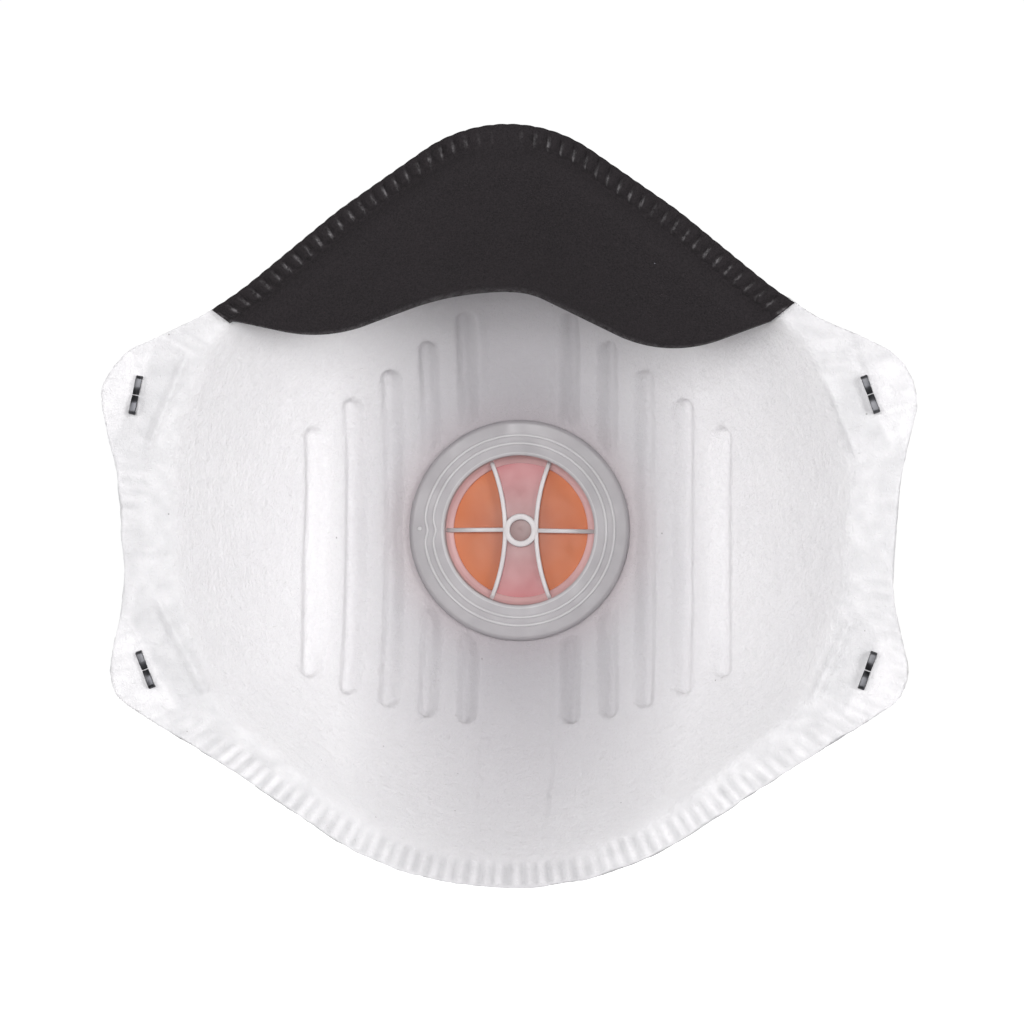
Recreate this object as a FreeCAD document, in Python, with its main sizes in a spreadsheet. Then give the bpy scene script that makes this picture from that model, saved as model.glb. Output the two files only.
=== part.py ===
import FreeCAD, Part
import Sketcher
import math
import os

# Disposable cup-shaped dust mask with an exhalation valve, in millimetres.
# Frame: origin at the middle of the face-side rim plane, +Z towards the nose, +X across the face,
# +Y forward, away from the wearer, so the cup is hollow towards -Y.

V = FreeCAD.Vector

SIZES = {
    # cup
    "cup_depth": 47.0, "flat_radius": 21.5, "corner_round": 1.6, "valve_drop": 4.4, "hole_radius": 14.85,
    # the four webs, from the face outwards
    "lining_thick": 0.4, "shell_thick": 0.9, "filter_thick": 0.6, "cover_thick": 0.4, "web_gap": 0.1,
    # nose seal and nose clip
    "foam_thick": 3.0, "foam_weld_thick": 1.0, "foam_drop": 10.5, "foam_reach": 24.5,
    "foam_inset": 0.9, "foam_clear": 0.15, "foam_end_angle": 51.6,
    "clip_inset": 8.6, "clip_radial_width": 2.6, "clip_thick": 0.9, "clip_end_angle": 38.0,
    # valve seat
    "seat_flange_radius": 20.5, "seat_flange_thick": 1.2, "tube_radius": 14.7, "tube_bore": 13.9,
    "seat_lip_bore": 12.5, "seat_lip_thick": 1.0, "seat_rise": 5.2, "seat_line_width": 0.4,
    "seat_line_proud": 0.25, "seat_line_outer": 17.6, "seat_line_inner": 16.1, "spoke_width": 0.8,
    "spoke_depth": 1.6, "hub_radius": 3.1, "hub_bore": 2.0, "web_plate_thick": 0.4,
    "arc_radius": 33.0, "arc_waist": 2.9, "nub_radius": 0.4,
    # diaphragm
    "diaphragm_radius": 13.8, "diaphragm_thick": 0.5, "diaphragm_gap": 0.15, "hinge_x": 5.6,
    "hinge_gap": 0.2,
    # valve cover
    "cover_base_radius": 21.4, "cover_base_thick": 1.6, "cover_bore": 14.75, "cover_skirt_radius": 19.6,
    "cover_wall": 1.3, "cover_height": 11.4, "cover_edge_round": 2.0, "vent_width": 6.0,
    "vent_height": 4.6, "vent_sill": 2.6, "vent_count": 12, "bar_width": 3.2, "bar_length": 25.0,
    # staples and straps
    "staple_length": 7.0, "staple_width": 1.2, "staple_thick": 0.5, "staple_gap": 0.5,
    "staple_fold_clear": 0.3,
    "strap_width": 6.5, "strap_thick": 1.0, "strap_clear": 0.6, "strap_tab_length": 6.6,
    "strap_tab_overhang": 2.2, "strap_tab_clear": 0.25, "strap_band_reach": 9.5,
    "upper_strap_x": 64.9, "upper_strap_z": 19.7, "upper_strap_tilt": 12.0,
    "lower_strap_x": 63.8, "lower_strap_z": -28.9, "lower_strap_tilt": -9.0,
    # how far both staples of a strap sit off its tabs' middle, along X
    "upper_staple_shift": -1.0, "lower_staple_shift": -0.4,
    # how far joined shapes run into each other, and how far a cutting shape runs past its cut
    "bite": 0.5, "cut_past": 1.0,
}

# Right halves of the outlines in the rim plane, nose to chin. Each corner is where two straight
# runs would meet: its distance from the middle, its height, and the radius that rounds it. The
# mouth is where the flat flange turns into the cup's wall; the foam edge is the foam's free side.
OUTLINES = {
    "rim": {"nose": (0.0, 73.2, 26.0), "bridge": (30.0, 52.3, 60.0), "brow": (50.5, 35.5, 60.0),
            "ear": (74.0, 24.5, 11.0), "side": (69.3, 5.5, 40.0), "waist": (67.8, -15.5, 40.0),
            "jaw": (71.8, -32.8, 8.0), "cheek": (50.0, -46.3, 80.0), "chin": (0.0, -79.4, 60.0)},
    "mouth": {"nose": (0.0, 67.4, 20.0), "temple": (53.0, 29.3, 20.0), "side": (59.6, 9.0, 40.0),
              "waist": (58.6, -15.0, 40.0), "jaw": (52.0, -35.5, 20.0), "chin": (0.0, -76.1, 50.0)},
    "foam_edge": {"crest": (0.0, 39.8, 14.0), "trough": (28.0, 26.0, 24.0), "end": (54.0, 35.2, 0.0)},
}

# How finely the curved layers are drawn: steps round half the cup, and half the foam and clip.
WEB_TURNS = 60
FOAM_TURNS = 20
CLIP_TURNS = 14
BAND_STEPS = 24
# Shares across the foam and across the clip, from the rim inwards.
FOAM_STEPS = [0.0, 0.12, 0.3, 0.5, 0.7, 0.88, 1.0]
CLIP_STEPS = [0.0, 0.33, 0.67, 1.0]
FLAT_STEPS = [0.0, 0.35, 0.7]
# Powers of the foam's swelling from its weld, and of its dip into the cup.
FOAM_SWELL = 3
FOAM_DIP = 1.2
# Small steps: to find a slope, to end a search, and to move a strap's end inwards.
SLOPE_STEP = 0.05
SEARCH_END = 0.01
EDGE_STEP = 0.25

# Staple name: side (+1 is +X), strap it holds, and lean from upright in degrees.
STAPLES = {"staple_upper_left": (-1, "upper", 12.0), "staple_upper_right": (1, "upper", -20.0),
           "staple_lower_left": (-1, "lower", -21.0), "staple_lower_right": (1, "lower", 20.0)}

doc = FreeCAD.newDocument("dust_mask")
sheet = doc.addObject("Spreadsheet::Sheet", "sizes")
for outline, corners in OUTLINES.items():
    for corner, place in corners.items():
        for measure, value in zip(("across", "up", "round"), place):
            SIZES[f"{outline}_{corner}_{measure}"] = value
for row, (alias, value) in enumerate(SIZES.items(), start=1):
    sheet.set(f"A{row}", alias)
    sheet.set(f"B{row}", str(value))
    sheet.setAlias(f"B{row}", alias)
doc.recompute()


def size(alias):
    return float(getattr(sheet, alias))


# ---------------------------------------------------------------- cup surface

class Outline:
    """A left-right symmetric line around the valve axis, made of straight runs and the arcs that
    round its corners, as a radius for each turn angle. The turn is 0 at the nose and pi at the
    chin. An outline whose last corner is off the symmetry plane is open and ends there."""

    def __init__(self, name):
        corners = []
        for corner in OUTLINES[name]:
            across, up, rounding = (size(f"{name}_{corner}_{m}") for m in ("across", "up", "round"))
            corners.append((V(across, up + size("valve_drop"), 0), rounding))
        points = [point for point, _ in corners]
        before = V(-points[1].x, points[1].y, 0)
        after = V(-points[-2].x, points[-2].y, 0)
        points = [before] + points + [after]
        self.spans = []
        for i, (corner, rounding) in enumerate(corners, start=1):
            come = (corner - points[i - 1]).normalize()
            if rounding > 0:
                go = (points[i + 1] - corner).normalize()
                bend = come.x * go.y - come.y * go.x
                cut = rounding * math.tan(come.getAngle(go) / 2)
                side = math.copysign(1, bend)
                start = corner - come * cut
                centre = start + V(-come.y, come.x, 0) * (side * rounding)
                self.spans.append((self.turn_of(start), "line", corner, come))
                self.spans.append((self.turn_of(corner + go * cut), "arc", centre, -side * rounding))
            else:
                self.spans.append((self.turn_of(corner), "line", corner, come))

    @staticmethod
    def turn_of(point):
        return math.atan2(point.x, point.y) % (2 * math.pi)

    def radius(self, turn):
        turn = abs(turn)
        ray = V(math.sin(turn), math.cos(turn), 0)
        spans = self.spans[1:]
        _, kind, place, extra = next((span for span in spans if turn <= span[0]), spans[-1])
        if kind == "line":
            return (place.x * extra.y - place.y * extra.x) / (ray.x * extra.y - ray.y * extra.x)
        along = ray.dot(place)
        reach = math.sqrt(along**2 - place.dot(place) + extra**2)
        return along + math.copysign(reach, extra)


rim = Outline("rim")
mouth = Outline("mouth")
foam_edge = Outline("foam_edge")


def cup_depth_at(turn, radius):
    """Depth of the face side of the cup: flat round the valve, a parabola down the wall, then a
    rounded corner into the flat flange."""
    wall = mouth.radius(turn) - size("flat_radius")
    share = max(0.0, (radius - size("flat_radius")) / wall)
    depth = size("cup_depth")
    rise = depth * (1 - share**2)
    return (rise + math.sqrt(rise**2 + 4 * size("corner_round")**2 * (1 - rise / depth))) / 2


def cup_point(turn, radius, offset=0.0):
    """A point of the cup's face side, moved outwards along the surface normal by offset."""
    def place(a, r):
        return V(r * math.sin(a), cup_depth_at(a, r), r * math.cos(a) - size("valve_drop"))
    point = place(turn, radius)
    if offset == 0.0:
        return point
    step = SLOPE_STEP / radius
    along = place(turn, radius + SLOPE_STEP) - place(turn, radius - SLOPE_STEP)
    around = place(turn + step, radius) - place(turn - step, radius)
    normal = along.cross(around)
    normal.normalize()
    if normal.y < 0:
        normal = -normal
    return point + normal * offset


def clamped_knots(count):
    """Knots and multiplicities of an even cubic spline that starts and ends on its end poles."""
    inner = count - 4
    knots = [float(i) for i in range(inner + 2)]
    return knots, [4] + [1] * inner + [4]


def surface(rows):
    """A smooth cubic surface that follows a grid of points as its poles."""
    u_knots, u_mults = clamped_knots(len(rows))
    v_knots, v_mults = clamped_knots(len(rows[0]))
    grid = Part.BSplineSurface()
    grid.buildFromPolesMultsKnots(rows, u_mults, v_mults, u_knots, v_knots, False, False, 3, 3)
    return grid


def sewn(faces):
    shell = Part.makeShell(faces)
    shell.sewShape()
    solid = Part.makeSolid(shell)
    if solid.Volume < 0:
        solid.reverse()
    return solid


def border(grid, side):
    """One border curve of a grid surface as an edge: first or last row, first or last column."""
    u0, u1, v0, v1 = grid.bounds()
    curve = {"row0": grid.uIso(u0), "row1": grid.uIso(u1), "col0": grid.vIso(v0),
             "col1": grid.vIso(v1)}[side]
    return curve.toShape()


def skin_faces(face_side, outer_side, sides):
    """Faces of the slab between two grids with the same layout, with walls along the named sides."""
    faces = [face_side.toShape(), outer_side.toShape()]
    for side in sides:
        faces.append(Part.makeRuledSurface(border(face_side, side), border(outer_side, side)))
    return faces


# Shares of the wall and of the flange where the cup's surface is drawn, closer at the corner.
WALL_STEPS = [0.0, 0.06, 0.13, 0.22, 0.32, 0.43, 0.54, 0.65, 0.75, 0.83, 0.89, 0.93, 0.96, 0.98, 1.0]
FLANGE_STEPS = [0.12, 0.27, 0.5, 1.0]


def radial_stations(turn):
    """Radii from the valve hole to the rim: the flat, the wall, then the flange."""
    flat = size("flat_radius")
    edge = mouth.radius(turn)
    radii = [size("hole_radius") + (flat - size("hole_radius")) * step for step in FLAT_STEPS]
    radii += [flat + (edge - flat) * step for step in WALL_STEPS]
    radii += [edge + (rim.radius(turn) - edge) * step for step in FLANGE_STEPS]
    return radii


def web_shape(low, high):
    """A whole layer of the cup between two offsets from its face side."""
    turns = [math.pi * i / WEB_TURNS for i in range(WEB_TURNS + 1)]
    grids = []
    for offset in (low, high):
        rows = []
        for turn in turns:
            row = [cup_point(turn, radius, offset) for radius in radial_stations(turn)]
            if turn in (turns[0], turns[-1]):
                row = [V(0, p.y, p.z) for p in row]
            rows.append(row)
        grids.append(surface(rows))
    half = skin_faces(grids[0], grids[1], ("col0", "col1"))
    mirrored = [face.mirror(V(0, 0, 0), V(1, 0, 0)) for face in half]
    return sewn(half + mirrored)


def add_shape(label, shape):
    part = doc.addObject("Part::Feature", label)
    part.Shape = shape
    part.Label = label
    return part


def make_webs():
    """Lining, moulded support shell, filter web and outer web, laid one on another."""
    start = 0.0
    webs = (("inner_lining", "lining_thick"), ("support_shell", "shell_thick"),
            ("filter_web", "filter_thick"), ("outer_cover_web", "cover_thick"))
    made = []
    for label, thickness in webs:
        end = start + size(thickness)
        made.append(add_shape(label, web_shape(start, end)))
        start = end + size("web_gap")
    return made, start - size("web_gap")


webs, stack_thick = make_webs()


# ---------------------------------------------------------------- nose foam and nose clip

def make_foam():
    """A crescent of soft foam, welded thin along the rim. It lies on the flange, grows thicker
    towards the face, and its free inner edge dips a little into the cup."""
    end = math.radians(size("foam_end_angle"))
    turns = [end * i / FOAM_TURNS for i in range(-FOAM_TURNS, FOAM_TURNS + 1)]
    sides = []
    for is_front in (True, False):
        rows = []
        for turn in turns:
            outer = rim.radius(turn) - size("foam_inset")
            inner = min(foam_edge.radius(turn), outer - size("foam_thick"))
            row = []
            for step in FOAM_STEPS:
                radius = outer + (inner - outer) * step
                thick = size("foam_weld_thick") + (size("foam_thick") - size("foam_weld_thick")) * (
                    1 - (1 - step)**FOAM_SWELL)
                inside = max(0.0, mouth.radius(turn) - radius) / size("foam_reach")
                back = size("foam_drop") * inside**FOAM_DIP - size("foam_clear")
                row.append(V(radius * math.sin(turn), back - thick * is_front,
                             radius * math.cos(turn) - size("valve_drop")))
            rows.append(row)
        sides.append(surface(rows))
    return add_shape("nose_foam", sewn(skin_faces(*sides, ("row0", "row1", "col0", "col1"))))


def make_clip():
    """A thin bendable strip on the outer web, over the bridge of the nose."""
    end = math.radians(size("clip_end_angle"))
    low = stack_thick + size("web_gap")
    sides = []
    for offset in (low, low + size("clip_thick")):
        rows = []
        for i in range(-CLIP_TURNS, CLIP_TURNS + 1):
            turn = end * i / CLIP_TURNS
            upper = rim.radius(turn) - size("clip_inset")
            row = [cup_point(turn, upper - size("clip_radial_width") * step, offset)
                   for step in CLIP_STEPS]
            rows.append(row)
        sides.append(surface(rows))
    return add_shape("nose_clip", sewn(skin_faces(*sides, ("row0", "row1", "col0", "col1"))))


# ---------------------------------------------------------------- valve

def on_valve_axis(part):
    """Valve pieces are drawn with local +Z along the valve's axis and their zero on the face side
    of the cup's flat. This turns local +Z to +Y and puts them in the cup."""
    part.Placement = FreeCAD.Placement(V(0, 0, 0), FreeCAD.Rotation(V(1, 0, 0), -90))
    part.setExpression("Placement.Base.y", "sizes.cup_depth")
    part.setExpression("Placement.Base.z", "-sizes.valve_drop")


def bound(kind, name, **expressions):
    """A Part object whose properties follow the sheet; x, y and z place its base."""
    part = doc.addObject(kind, name)
    for key, expression in expressions.items():
        prop = f"Placement.Base.{key}" if key in "xyz" else key
        part.setExpression(prop, str(expression))
    return part


def disc(name, radius, low, thick, x="0", y="0"):
    return bound("Part::Cylinder", name, Radius=radius, Height=thick, x=x, y=y, z=low)


def block(name, width, length, thick, x, y, z):
    return bound("Part::Box", name, Length=width, Width=length, Height=thick, x=x, y=y, z=z)


def joined(name, pieces):
    part = doc.addObject("Part::MultiFuse", name)
    part.Shapes = pieces
    return part


def minus(name, base, tool):
    part = doc.addObject("Part::Cut", name)
    part.Base = base
    part.Tool = tool
    return part


def common(name, first, second):
    part = doc.addObject("Part::MultiCommon", name)
    part.Shapes = [first, second]
    return part


def ring(name, outer, inner, low, thick):
    hole = disc(name + "_hole", inner, f"{low} - {S}cut_past", f"{thick} + 2 * {S}cut_past")
    return minus(name, disc(name + "_disc", outer, low, thick), hole)


S = "sizes."


def make_valve_seat():
    """Flange on the face side, tube through the cup, sealing lip at its outer end, and the spider:
    hub, two straight spokes, two bowed spokes and the thin web between the bowed ones."""
    face = f"-{S}seat_flange_thick - {S}web_gap"
    pieces = [
        ring("seat_flange", S + "seat_flange_radius", S + "tube_bore", face, S + "seat_flange_thick"),
        ring("seat_tube", S + "tube_radius", S + "tube_bore", face,
             f"{S}seat_rise + {S}seat_flange_thick + {S}web_gap"),
        ring("seat_lip", S + "tube_radius", S + "seat_lip_bore", f"{S}seat_rise - {S}seat_lip_thick",
             S + "seat_lip_thick"),
    ]
    for name in ("outer", "inner"):
        edge = f"{S}seat_line_{name}"
        pieces.append(ring(f"seat_line_{name}", edge, f"{edge} - {S}seat_line_width",
                           f"{face} - {S}seat_line_proud", f"{S}seat_line_proud + {S}bite"))
    spoke_low = f"{S}seat_rise - {S}spoke_depth"
    hub = ring("seat_hub", S + "hub_radius", S + "hub_bore", spoke_low, S + "spoke_depth")
    for side, start in (("left", f"-{S}seat_lip_bore - {S}bite"), ("right", f"{S}hub_bore + {S}bite")):
        pieces.append(block(f"spoke_{side}", f"{S}seat_lip_bore - {S}hub_bore", S + "spoke_width",
                            S + "spoke_depth", start, f"-{S}spoke_width / 2", spoke_low))
    opening = disc("seat_opening", f"{S}seat_lip_bore + {S}bite", spoke_low, S + "spoke_depth")
    bows = []
    for side, sign in (("left", "-"), ("right", "")):
        centre = f"{sign}({S}arc_waist + {S}arc_radius)"
        outer = disc(f"bow_{side}_outer", f"{S}arc_radius + {S}spoke_width / 2", spoke_low,
                     S + "spoke_depth", x=centre)
        inner = disc(f"bow_{side}_inner", f"{S}arc_radius - {S}spoke_width / 2",
                     f"{spoke_low} - {S}cut_past", f"{S}spoke_depth + 2 * {S}cut_past", x=centre)
        bows.append(common(f"bow_{side}", minus(f"bow_{side}_ring", outer, inner), opening))
    plate = disc("web_plate_disc", f"{S}seat_lip_bore + {S}bite", f"{S}seat_rise - {S}web_plate_thick",
                 S + "web_plate_thick")
    sides = joined("web_plate_sides", [
        disc(f"web_plate_{side}", S + "arc_radius", f"{S}seat_rise - {S}spoke_depth - {S}cut_past",
             f"{S}spoke_depth + 2 * {S}cut_past",
             x=f"{sign}({S}arc_waist + {S}arc_radius)")
        for side, sign in (("left", "-"), ("right", ""))])
    nub = disc("gate_nub", S + "nub_radius", f"{face} - {S}seat_line_proud", f"{S}seat_line_proud + {S}bite",
               x=f"-{S}seat_line_outer - 2 * {S}nub_radius")
    pieces += bows + [hub, minus("web_plate", plate, sides), nub]
    seat = joined("valve_seat", pieces)
    on_valve_axis(seat)
    return seat


def make_diaphragm():
    """A soft disc over the sealing lip: a clamped middle strip and a free flap on each side."""
    low = f"{S}seat_rise + {S}diaphragm_gap"
    tall = S + "diaphragm_thick"
    reach = f"2 * {S}diaphragm_radius"
    strip = common("diaphragm_strip", disc("strip_disc", S + "diaphragm_radius", low, tall),
                   block("strip_block", f"2 * {S}hinge_x", reach, tall, f"-{S}hinge_x",
                         f"-{S}diaphragm_radius", low))
    made = [strip]
    for side, start in (("left", f"-{S}diaphragm_radius - {S}hinge_gap"),
                        ("right", f"{S}hinge_x + {S}hinge_gap")):
        cutter = block(f"flap_{side}_block", f"{S}diaphragm_radius - {S}hinge_x", reach, tall, start,
                       f"-{S}diaphragm_radius", low)
        made.append(common(f"diaphragm_flap_{side}",
                           disc(f"flap_{side}_disc", S + "diaphragm_radius", low, tall), cutter))
    for part in made:
        on_valve_axis(part)
    return made


def plane_of(body, role):
    return next(feature for feature in body.Origin.OriginFeatures if feature.Role == role)


def sketch_on(body, name, role):
    sketch = body.newObject("Sketcher::SketchObject", name)
    sketch.AttachmentSupport = (plane_of(body, role), [""])
    sketch.MapMode = "FlatFace"
    return sketch


def line_profile(body, name, role, corners):
    """A closed chain of straight lines. Each corner is a pair of expressions, across and up from
    the sketch's origin, and named constraints keep it on the sheet's sizes."""
    sketch = sketch_on(body, name, role)
    points = [V(float(sheet.evalExpression(a)), float(sheet.evalExpression(b)), 0) for a, b in corners]
    count = len(points)
    for i in range(count):
        sketch.addGeometry(Part.LineSegment(points[i], points[(i + 1) % count]), False)
    for i in range(count):
        sketch.addConstraint(Sketcher.Constraint("Coincident", i, 2, (i + 1) % count, 1))
    for i, pair in enumerate(corners):
        values = (points[i].x, points[i].y)
        for kind, expression, value in zip(("DistanceX", "DistanceY"), pair, values):
            index = sketch.addConstraint(Sketcher.Constraint(kind, -1, 1, i, 1, value))
            sketch.renameConstraint(index, f"{kind}_{i}")
            sketch.setExpression(f"Constraints.{kind}_{i}", expression)
    return sketch


def make_valve_cover():
    """Snap-on cap over the diaphragm: base ring on the outer web, skirt with vents all round, flat
    front, and a bar inside that holds the middle of the diaphragm down."""
    foot = f"({S}lining_thick + {S}shell_thick + {S}filter_thick + {S}cover_thick + 4 * {S}web_gap)"
    shelf = f"{foot} + {S}cover_base_thick"
    front = f"{foot} + {S}cover_height"
    ceiling = f"{front} - {S}cover_wall"
    inside = f"{S}cover_skirt_radius - {S}cover_wall"
    body = doc.addObject("PartDesign::Body", "valve_cover")
    profile = line_profile(body, "cover_profile", "XZ_Plane", [
        (S + "cover_bore", foot), (S + "cover_base_radius", foot), (S + "cover_base_radius", shelf),
        (S + "cover_skirt_radius", shelf), (S + "cover_skirt_radius", front), ("0", front),
        ("0", ceiling), (inside, ceiling), (inside, shelf), (S + "cover_bore", shelf)])
    turned = body.newObject("PartDesign::Revolution", "cover_turned")
    turned.Profile = profile
    turned.ReferenceAxis = (profile, ["V_Axis"])
    turned.Angle = 360.0
    doc.recompute()

    front_height = float(sheet.evalExpression(front))
    rounded = body.newObject("PartDesign::Fillet", "cover_round")
    rims = [f"Edge{i}" for i, edge in enumerate(turned.Shape.Edges, start=1)
            if abs(edge.BoundBox.ZMin - front_height) < 1e-6
            and abs(edge.BoundBox.XMax - size("cover_skirt_radius")) < 1e-3]
    rounded.Base = (turned, rims)
    rounded.setExpression("Radius", S + "cover_edge_round")
    doc.recompute()

    low = f"{shelf} + {S}vent_sill - {S}cover_base_thick"
    window = line_profile(body, "vent_profile", "XZ_Plane", [
        (f"-{S}vent_width / 2", low), (f"{S}vent_width / 2", low),
        (f"{S}vent_width / 2", f"{low} + {S}vent_height"),
        (f"-{S}vent_width / 2", f"{low} + {S}vent_height")])
    vent = body.newObject("PartDesign::Pocket", "vent")
    vent.Profile = window
    vent.setExpression("Length", f"{S}cover_base_radius + {S}cut_past")
    vents = body.newObject("PartDesign::PolarPattern", "vents")
    vents.Originals = [vent]
    vents.Axis = (window, ["V_Axis"])
    vents.Angle = 360.0
    vents.setExpression("Occurrences", S + "vent_count")
    body.Tip = vents
    doc.recompute()

    bar_low = f"{S}seat_rise + {S}diaphragm_gap + {S}diaphragm_thick"
    bar = line_profile(body, "bar_profile", "XY_Plane", [
        (f"-{S}bar_width / 2", f"-{S}bar_length / 2"), (f"{S}bar_width / 2", f"-{S}bar_length / 2"),
        (f"{S}bar_width / 2", f"{S}bar_length / 2"), (f"-{S}bar_width / 2", f"{S}bar_length / 2")])
    bar.setExpression("AttachmentOffset.Base.z", bar_low)
    raised = body.newObject("PartDesign::Pad", "bar")
    raised.Profile = bar
    raised.setExpression("Length", f"{ceiling} - ({bar_low}) + {S}bite")
    body.Tip = raised
    on_valve_axis(body)
    return body


# ---------------------------------------------------------------- straps and staples

def strap_numbers(level):
    """Place of a strap's ends: distance from the middle, height, face-side depth there, depth of
    the outer web's surface, and the tilt in radians of the plane that the band lies in."""
    across = size(f"{level}_strap_x")
    up = size(f"{level}_strap_z")
    turn = math.atan2(across, up + size("valve_drop"))
    face = cup_depth_at(turn, math.hypot(across, up + size("valve_drop")))
    return across, up, face, face + stack_thick, math.radians(size(f"{level}_strap_tilt"))


def outer_depth(x, z):
    """Depth of the outer web's surface straight ahead of a point of the rim plane."""
    def depth(a, b):
        b += size("valve_drop")
        return cup_depth_at(math.atan2(a, b), math.hypot(a, b))
    slope_x = (depth(x + SLOPE_STEP, z) - depth(x - SLOPE_STEP, z)) / (2 * SLOPE_STEP)
    slope_z = (depth(x, z + SLOPE_STEP) - depth(x, z - SLOPE_STEP)) / (2 * SLOPE_STEP)
    return depth(x, z) + stack_thick * math.sqrt(1 + slope_x**2 + slope_z**2)


def make_strap(level):
    """An elastic band stowed over the front of the cup. The band lies in one plane through the line
    between its two ends, so that it can swing up about that line. Its ends are flat tabs on the
    flange, and the free bend between a tab and the band is left open."""
    across, up, _, outer, tilt = strap_numbers(level)
    half_width = size("strap_width") / 2
    thick = size("strap_thick")
    pivot_y = outer + size("strap_tab_clear") + thick / 2
    reach_way = V(0, math.cos(tilt), math.sin(tilt))
    width_way = V(0, -math.sin(tilt), math.cos(tilt))

    def gap(x, reach):
        gaps = []
        for share in (-1, 0, 1):
            point = V(x, pivot_y, up) + reach_way * reach + width_way * (share * half_width)
            gaps.append(point.y - outer_depth(x, point.z))
        return min(gaps)

    def lift(x):
        low = 0.0
        high = 2 * size("cup_depth")
        while high - low > SEARCH_END:
            middle = (low + high) / 2
            if gap(x, middle) < size("strap_clear"):
                low = middle
            else:
                high = middle
        return high

    edge = across
    while lift(edge) < size("strap_band_reach"):
        edge -= EDGE_STEP
    inner = []
    for i in range(BAND_STEPS + 1):
        x = edge * math.cos(math.pi * i / BAND_STEPS)
        inner.append(V(x, pivot_y, up) + reach_way * lift(x))
    outer_line = []
    for i, point in enumerate(inner):
        ahead = inner[min(i + 1, BAND_STEPS)] - inner[max(i - 1, 0)]
        away = ahead.cross(width_way)
        away.normalize()
        if away.dot(reach_way) < 0:
            away = -away
        outer_line.append(point + away * thick)
    curves = []
    for line in (inner, outer_line):
        curve = Part.BSplineCurve()
        curve.interpolate(line)
        curves.append(curve.toShape())
    ends = [Part.makeLine(inner[0], outer_line[0]), Part.makeLine(inner[-1], outer_line[-1])]
    face = Part.Face(Part.Wire(Part.__sortEdges__([curves[0], ends[1], curves[1], ends[0]])))
    face.translate(width_way * -half_width)
    band = add_shape(f"{level}_strap", face.extrude(width_way * size("strap_width")))

    tabs = []
    for side, sign in (("left", -1), ("right", 1)):
        start = across + size("strap_tab_overhang")
        low_x = start - size("strap_tab_length") if sign > 0 else -start
        tabs.append(block(f"{level}_tab_{side}", S + "strap_tab_length", S + "strap_thick",
                          S + "strap_width", str(low_x), str(pivot_y - thick / 2),
                          f"{S}{level}_strap_z - {S}strap_width / 2"))
    pair = joined(f"{level}_strap_ends", tabs)
    return [band, pair], pivot_y


def make_staple(name, side, level, lean):
    """A flat-wire staple: crown over the strap end outside, two legs through the webs, and the legs'
    ends folded towards each other on the face side."""
    _, _, face, outer, _ = strap_numbers(level)
    crown = outer - face + size("strap_tab_clear") + size("strap_thick") + size("web_gap")
    wire = S + "staple_thick"
    wide = S + "staple_width"
    half = f"-{wide} / 2"
    fold = f"-{wire} - {S}staple_fold_clear"
    pieces = [block(name + "_crown", wide, wire, S + "staple_length", half, str(crown),
                    f"-{S}staple_length / 2")]
    for end, leg_low, fold_low in (
            ("top", f"{S}staple_length / 2 - {wire}", f"{S}staple_gap / 2"),
            ("bottom", f"-{S}staple_length / 2", f"-{S}staple_length / 2")):
        pieces.append(block(f"{name}_leg_{end}", wide, f"{crown} - ({fold}) + {wire}", wire, half, fold,
                            leg_low))
        pieces.append(block(f"{name}_fold_{end}", wide, wire,
                            f"({S}staple_length - {S}staple_gap) / 2", half, fold, fold_low))
    staple = joined(name, pieces)
    staple.Placement = FreeCAD.Placement(V(0, face, 0), FreeCAD.Rotation(V(0, 1, 0), lean))
    staple.setExpression("Placement.Base.x", f"{side} * {S}{level}_strap_x + {S}{level}_staple_shift")
    staple.setExpression("Placement.Base.z", f"{S}{level}_strap_z")
    return staple


# ---------------------------------------------------------------- build, test and write

parts = webs + [make_foam(), make_clip(), make_valve_seat()] + make_diaphragm() + [make_valve_cover()]
for strap_level in ("upper", "lower"):
    strap_parts, pivot_depth = make_strap(strap_level)
    parts += strap_parts
    print(f"{strap_level} strap turns about y {pivot_depth:.3f}, z {size(strap_level + '_strap_z'):.3f}")
for staple_name, (side_sign, strap_level, lean_angle) in STAPLES.items():
    parts.append(make_staple(staple_name, side_sign, strap_level, lean_angle))
doc.recompute()

for item in doc.Objects:
    if "Invalid" in item.State or "Error" in item.State:
        raise RuntimeError(f"{item.Label} failed: {item.State}")
os.makedirs("parts", exist_ok=True)
for part in parts:
    shape = part.Shape
    if shape.isNull() or not shape.isValid():
        raise RuntimeError(f"{part.Label} has no valid shape")
    print(f"{part.Label}: {shape.Volume:.1f} mm3, {len(shape.Solids)} solid(s)")
    shape.exportStep(f"parts/{part.Label}.step")
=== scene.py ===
import math
import bpy
import bmesh
import numpy as np
from mathutils import Matrix, Vector


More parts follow.
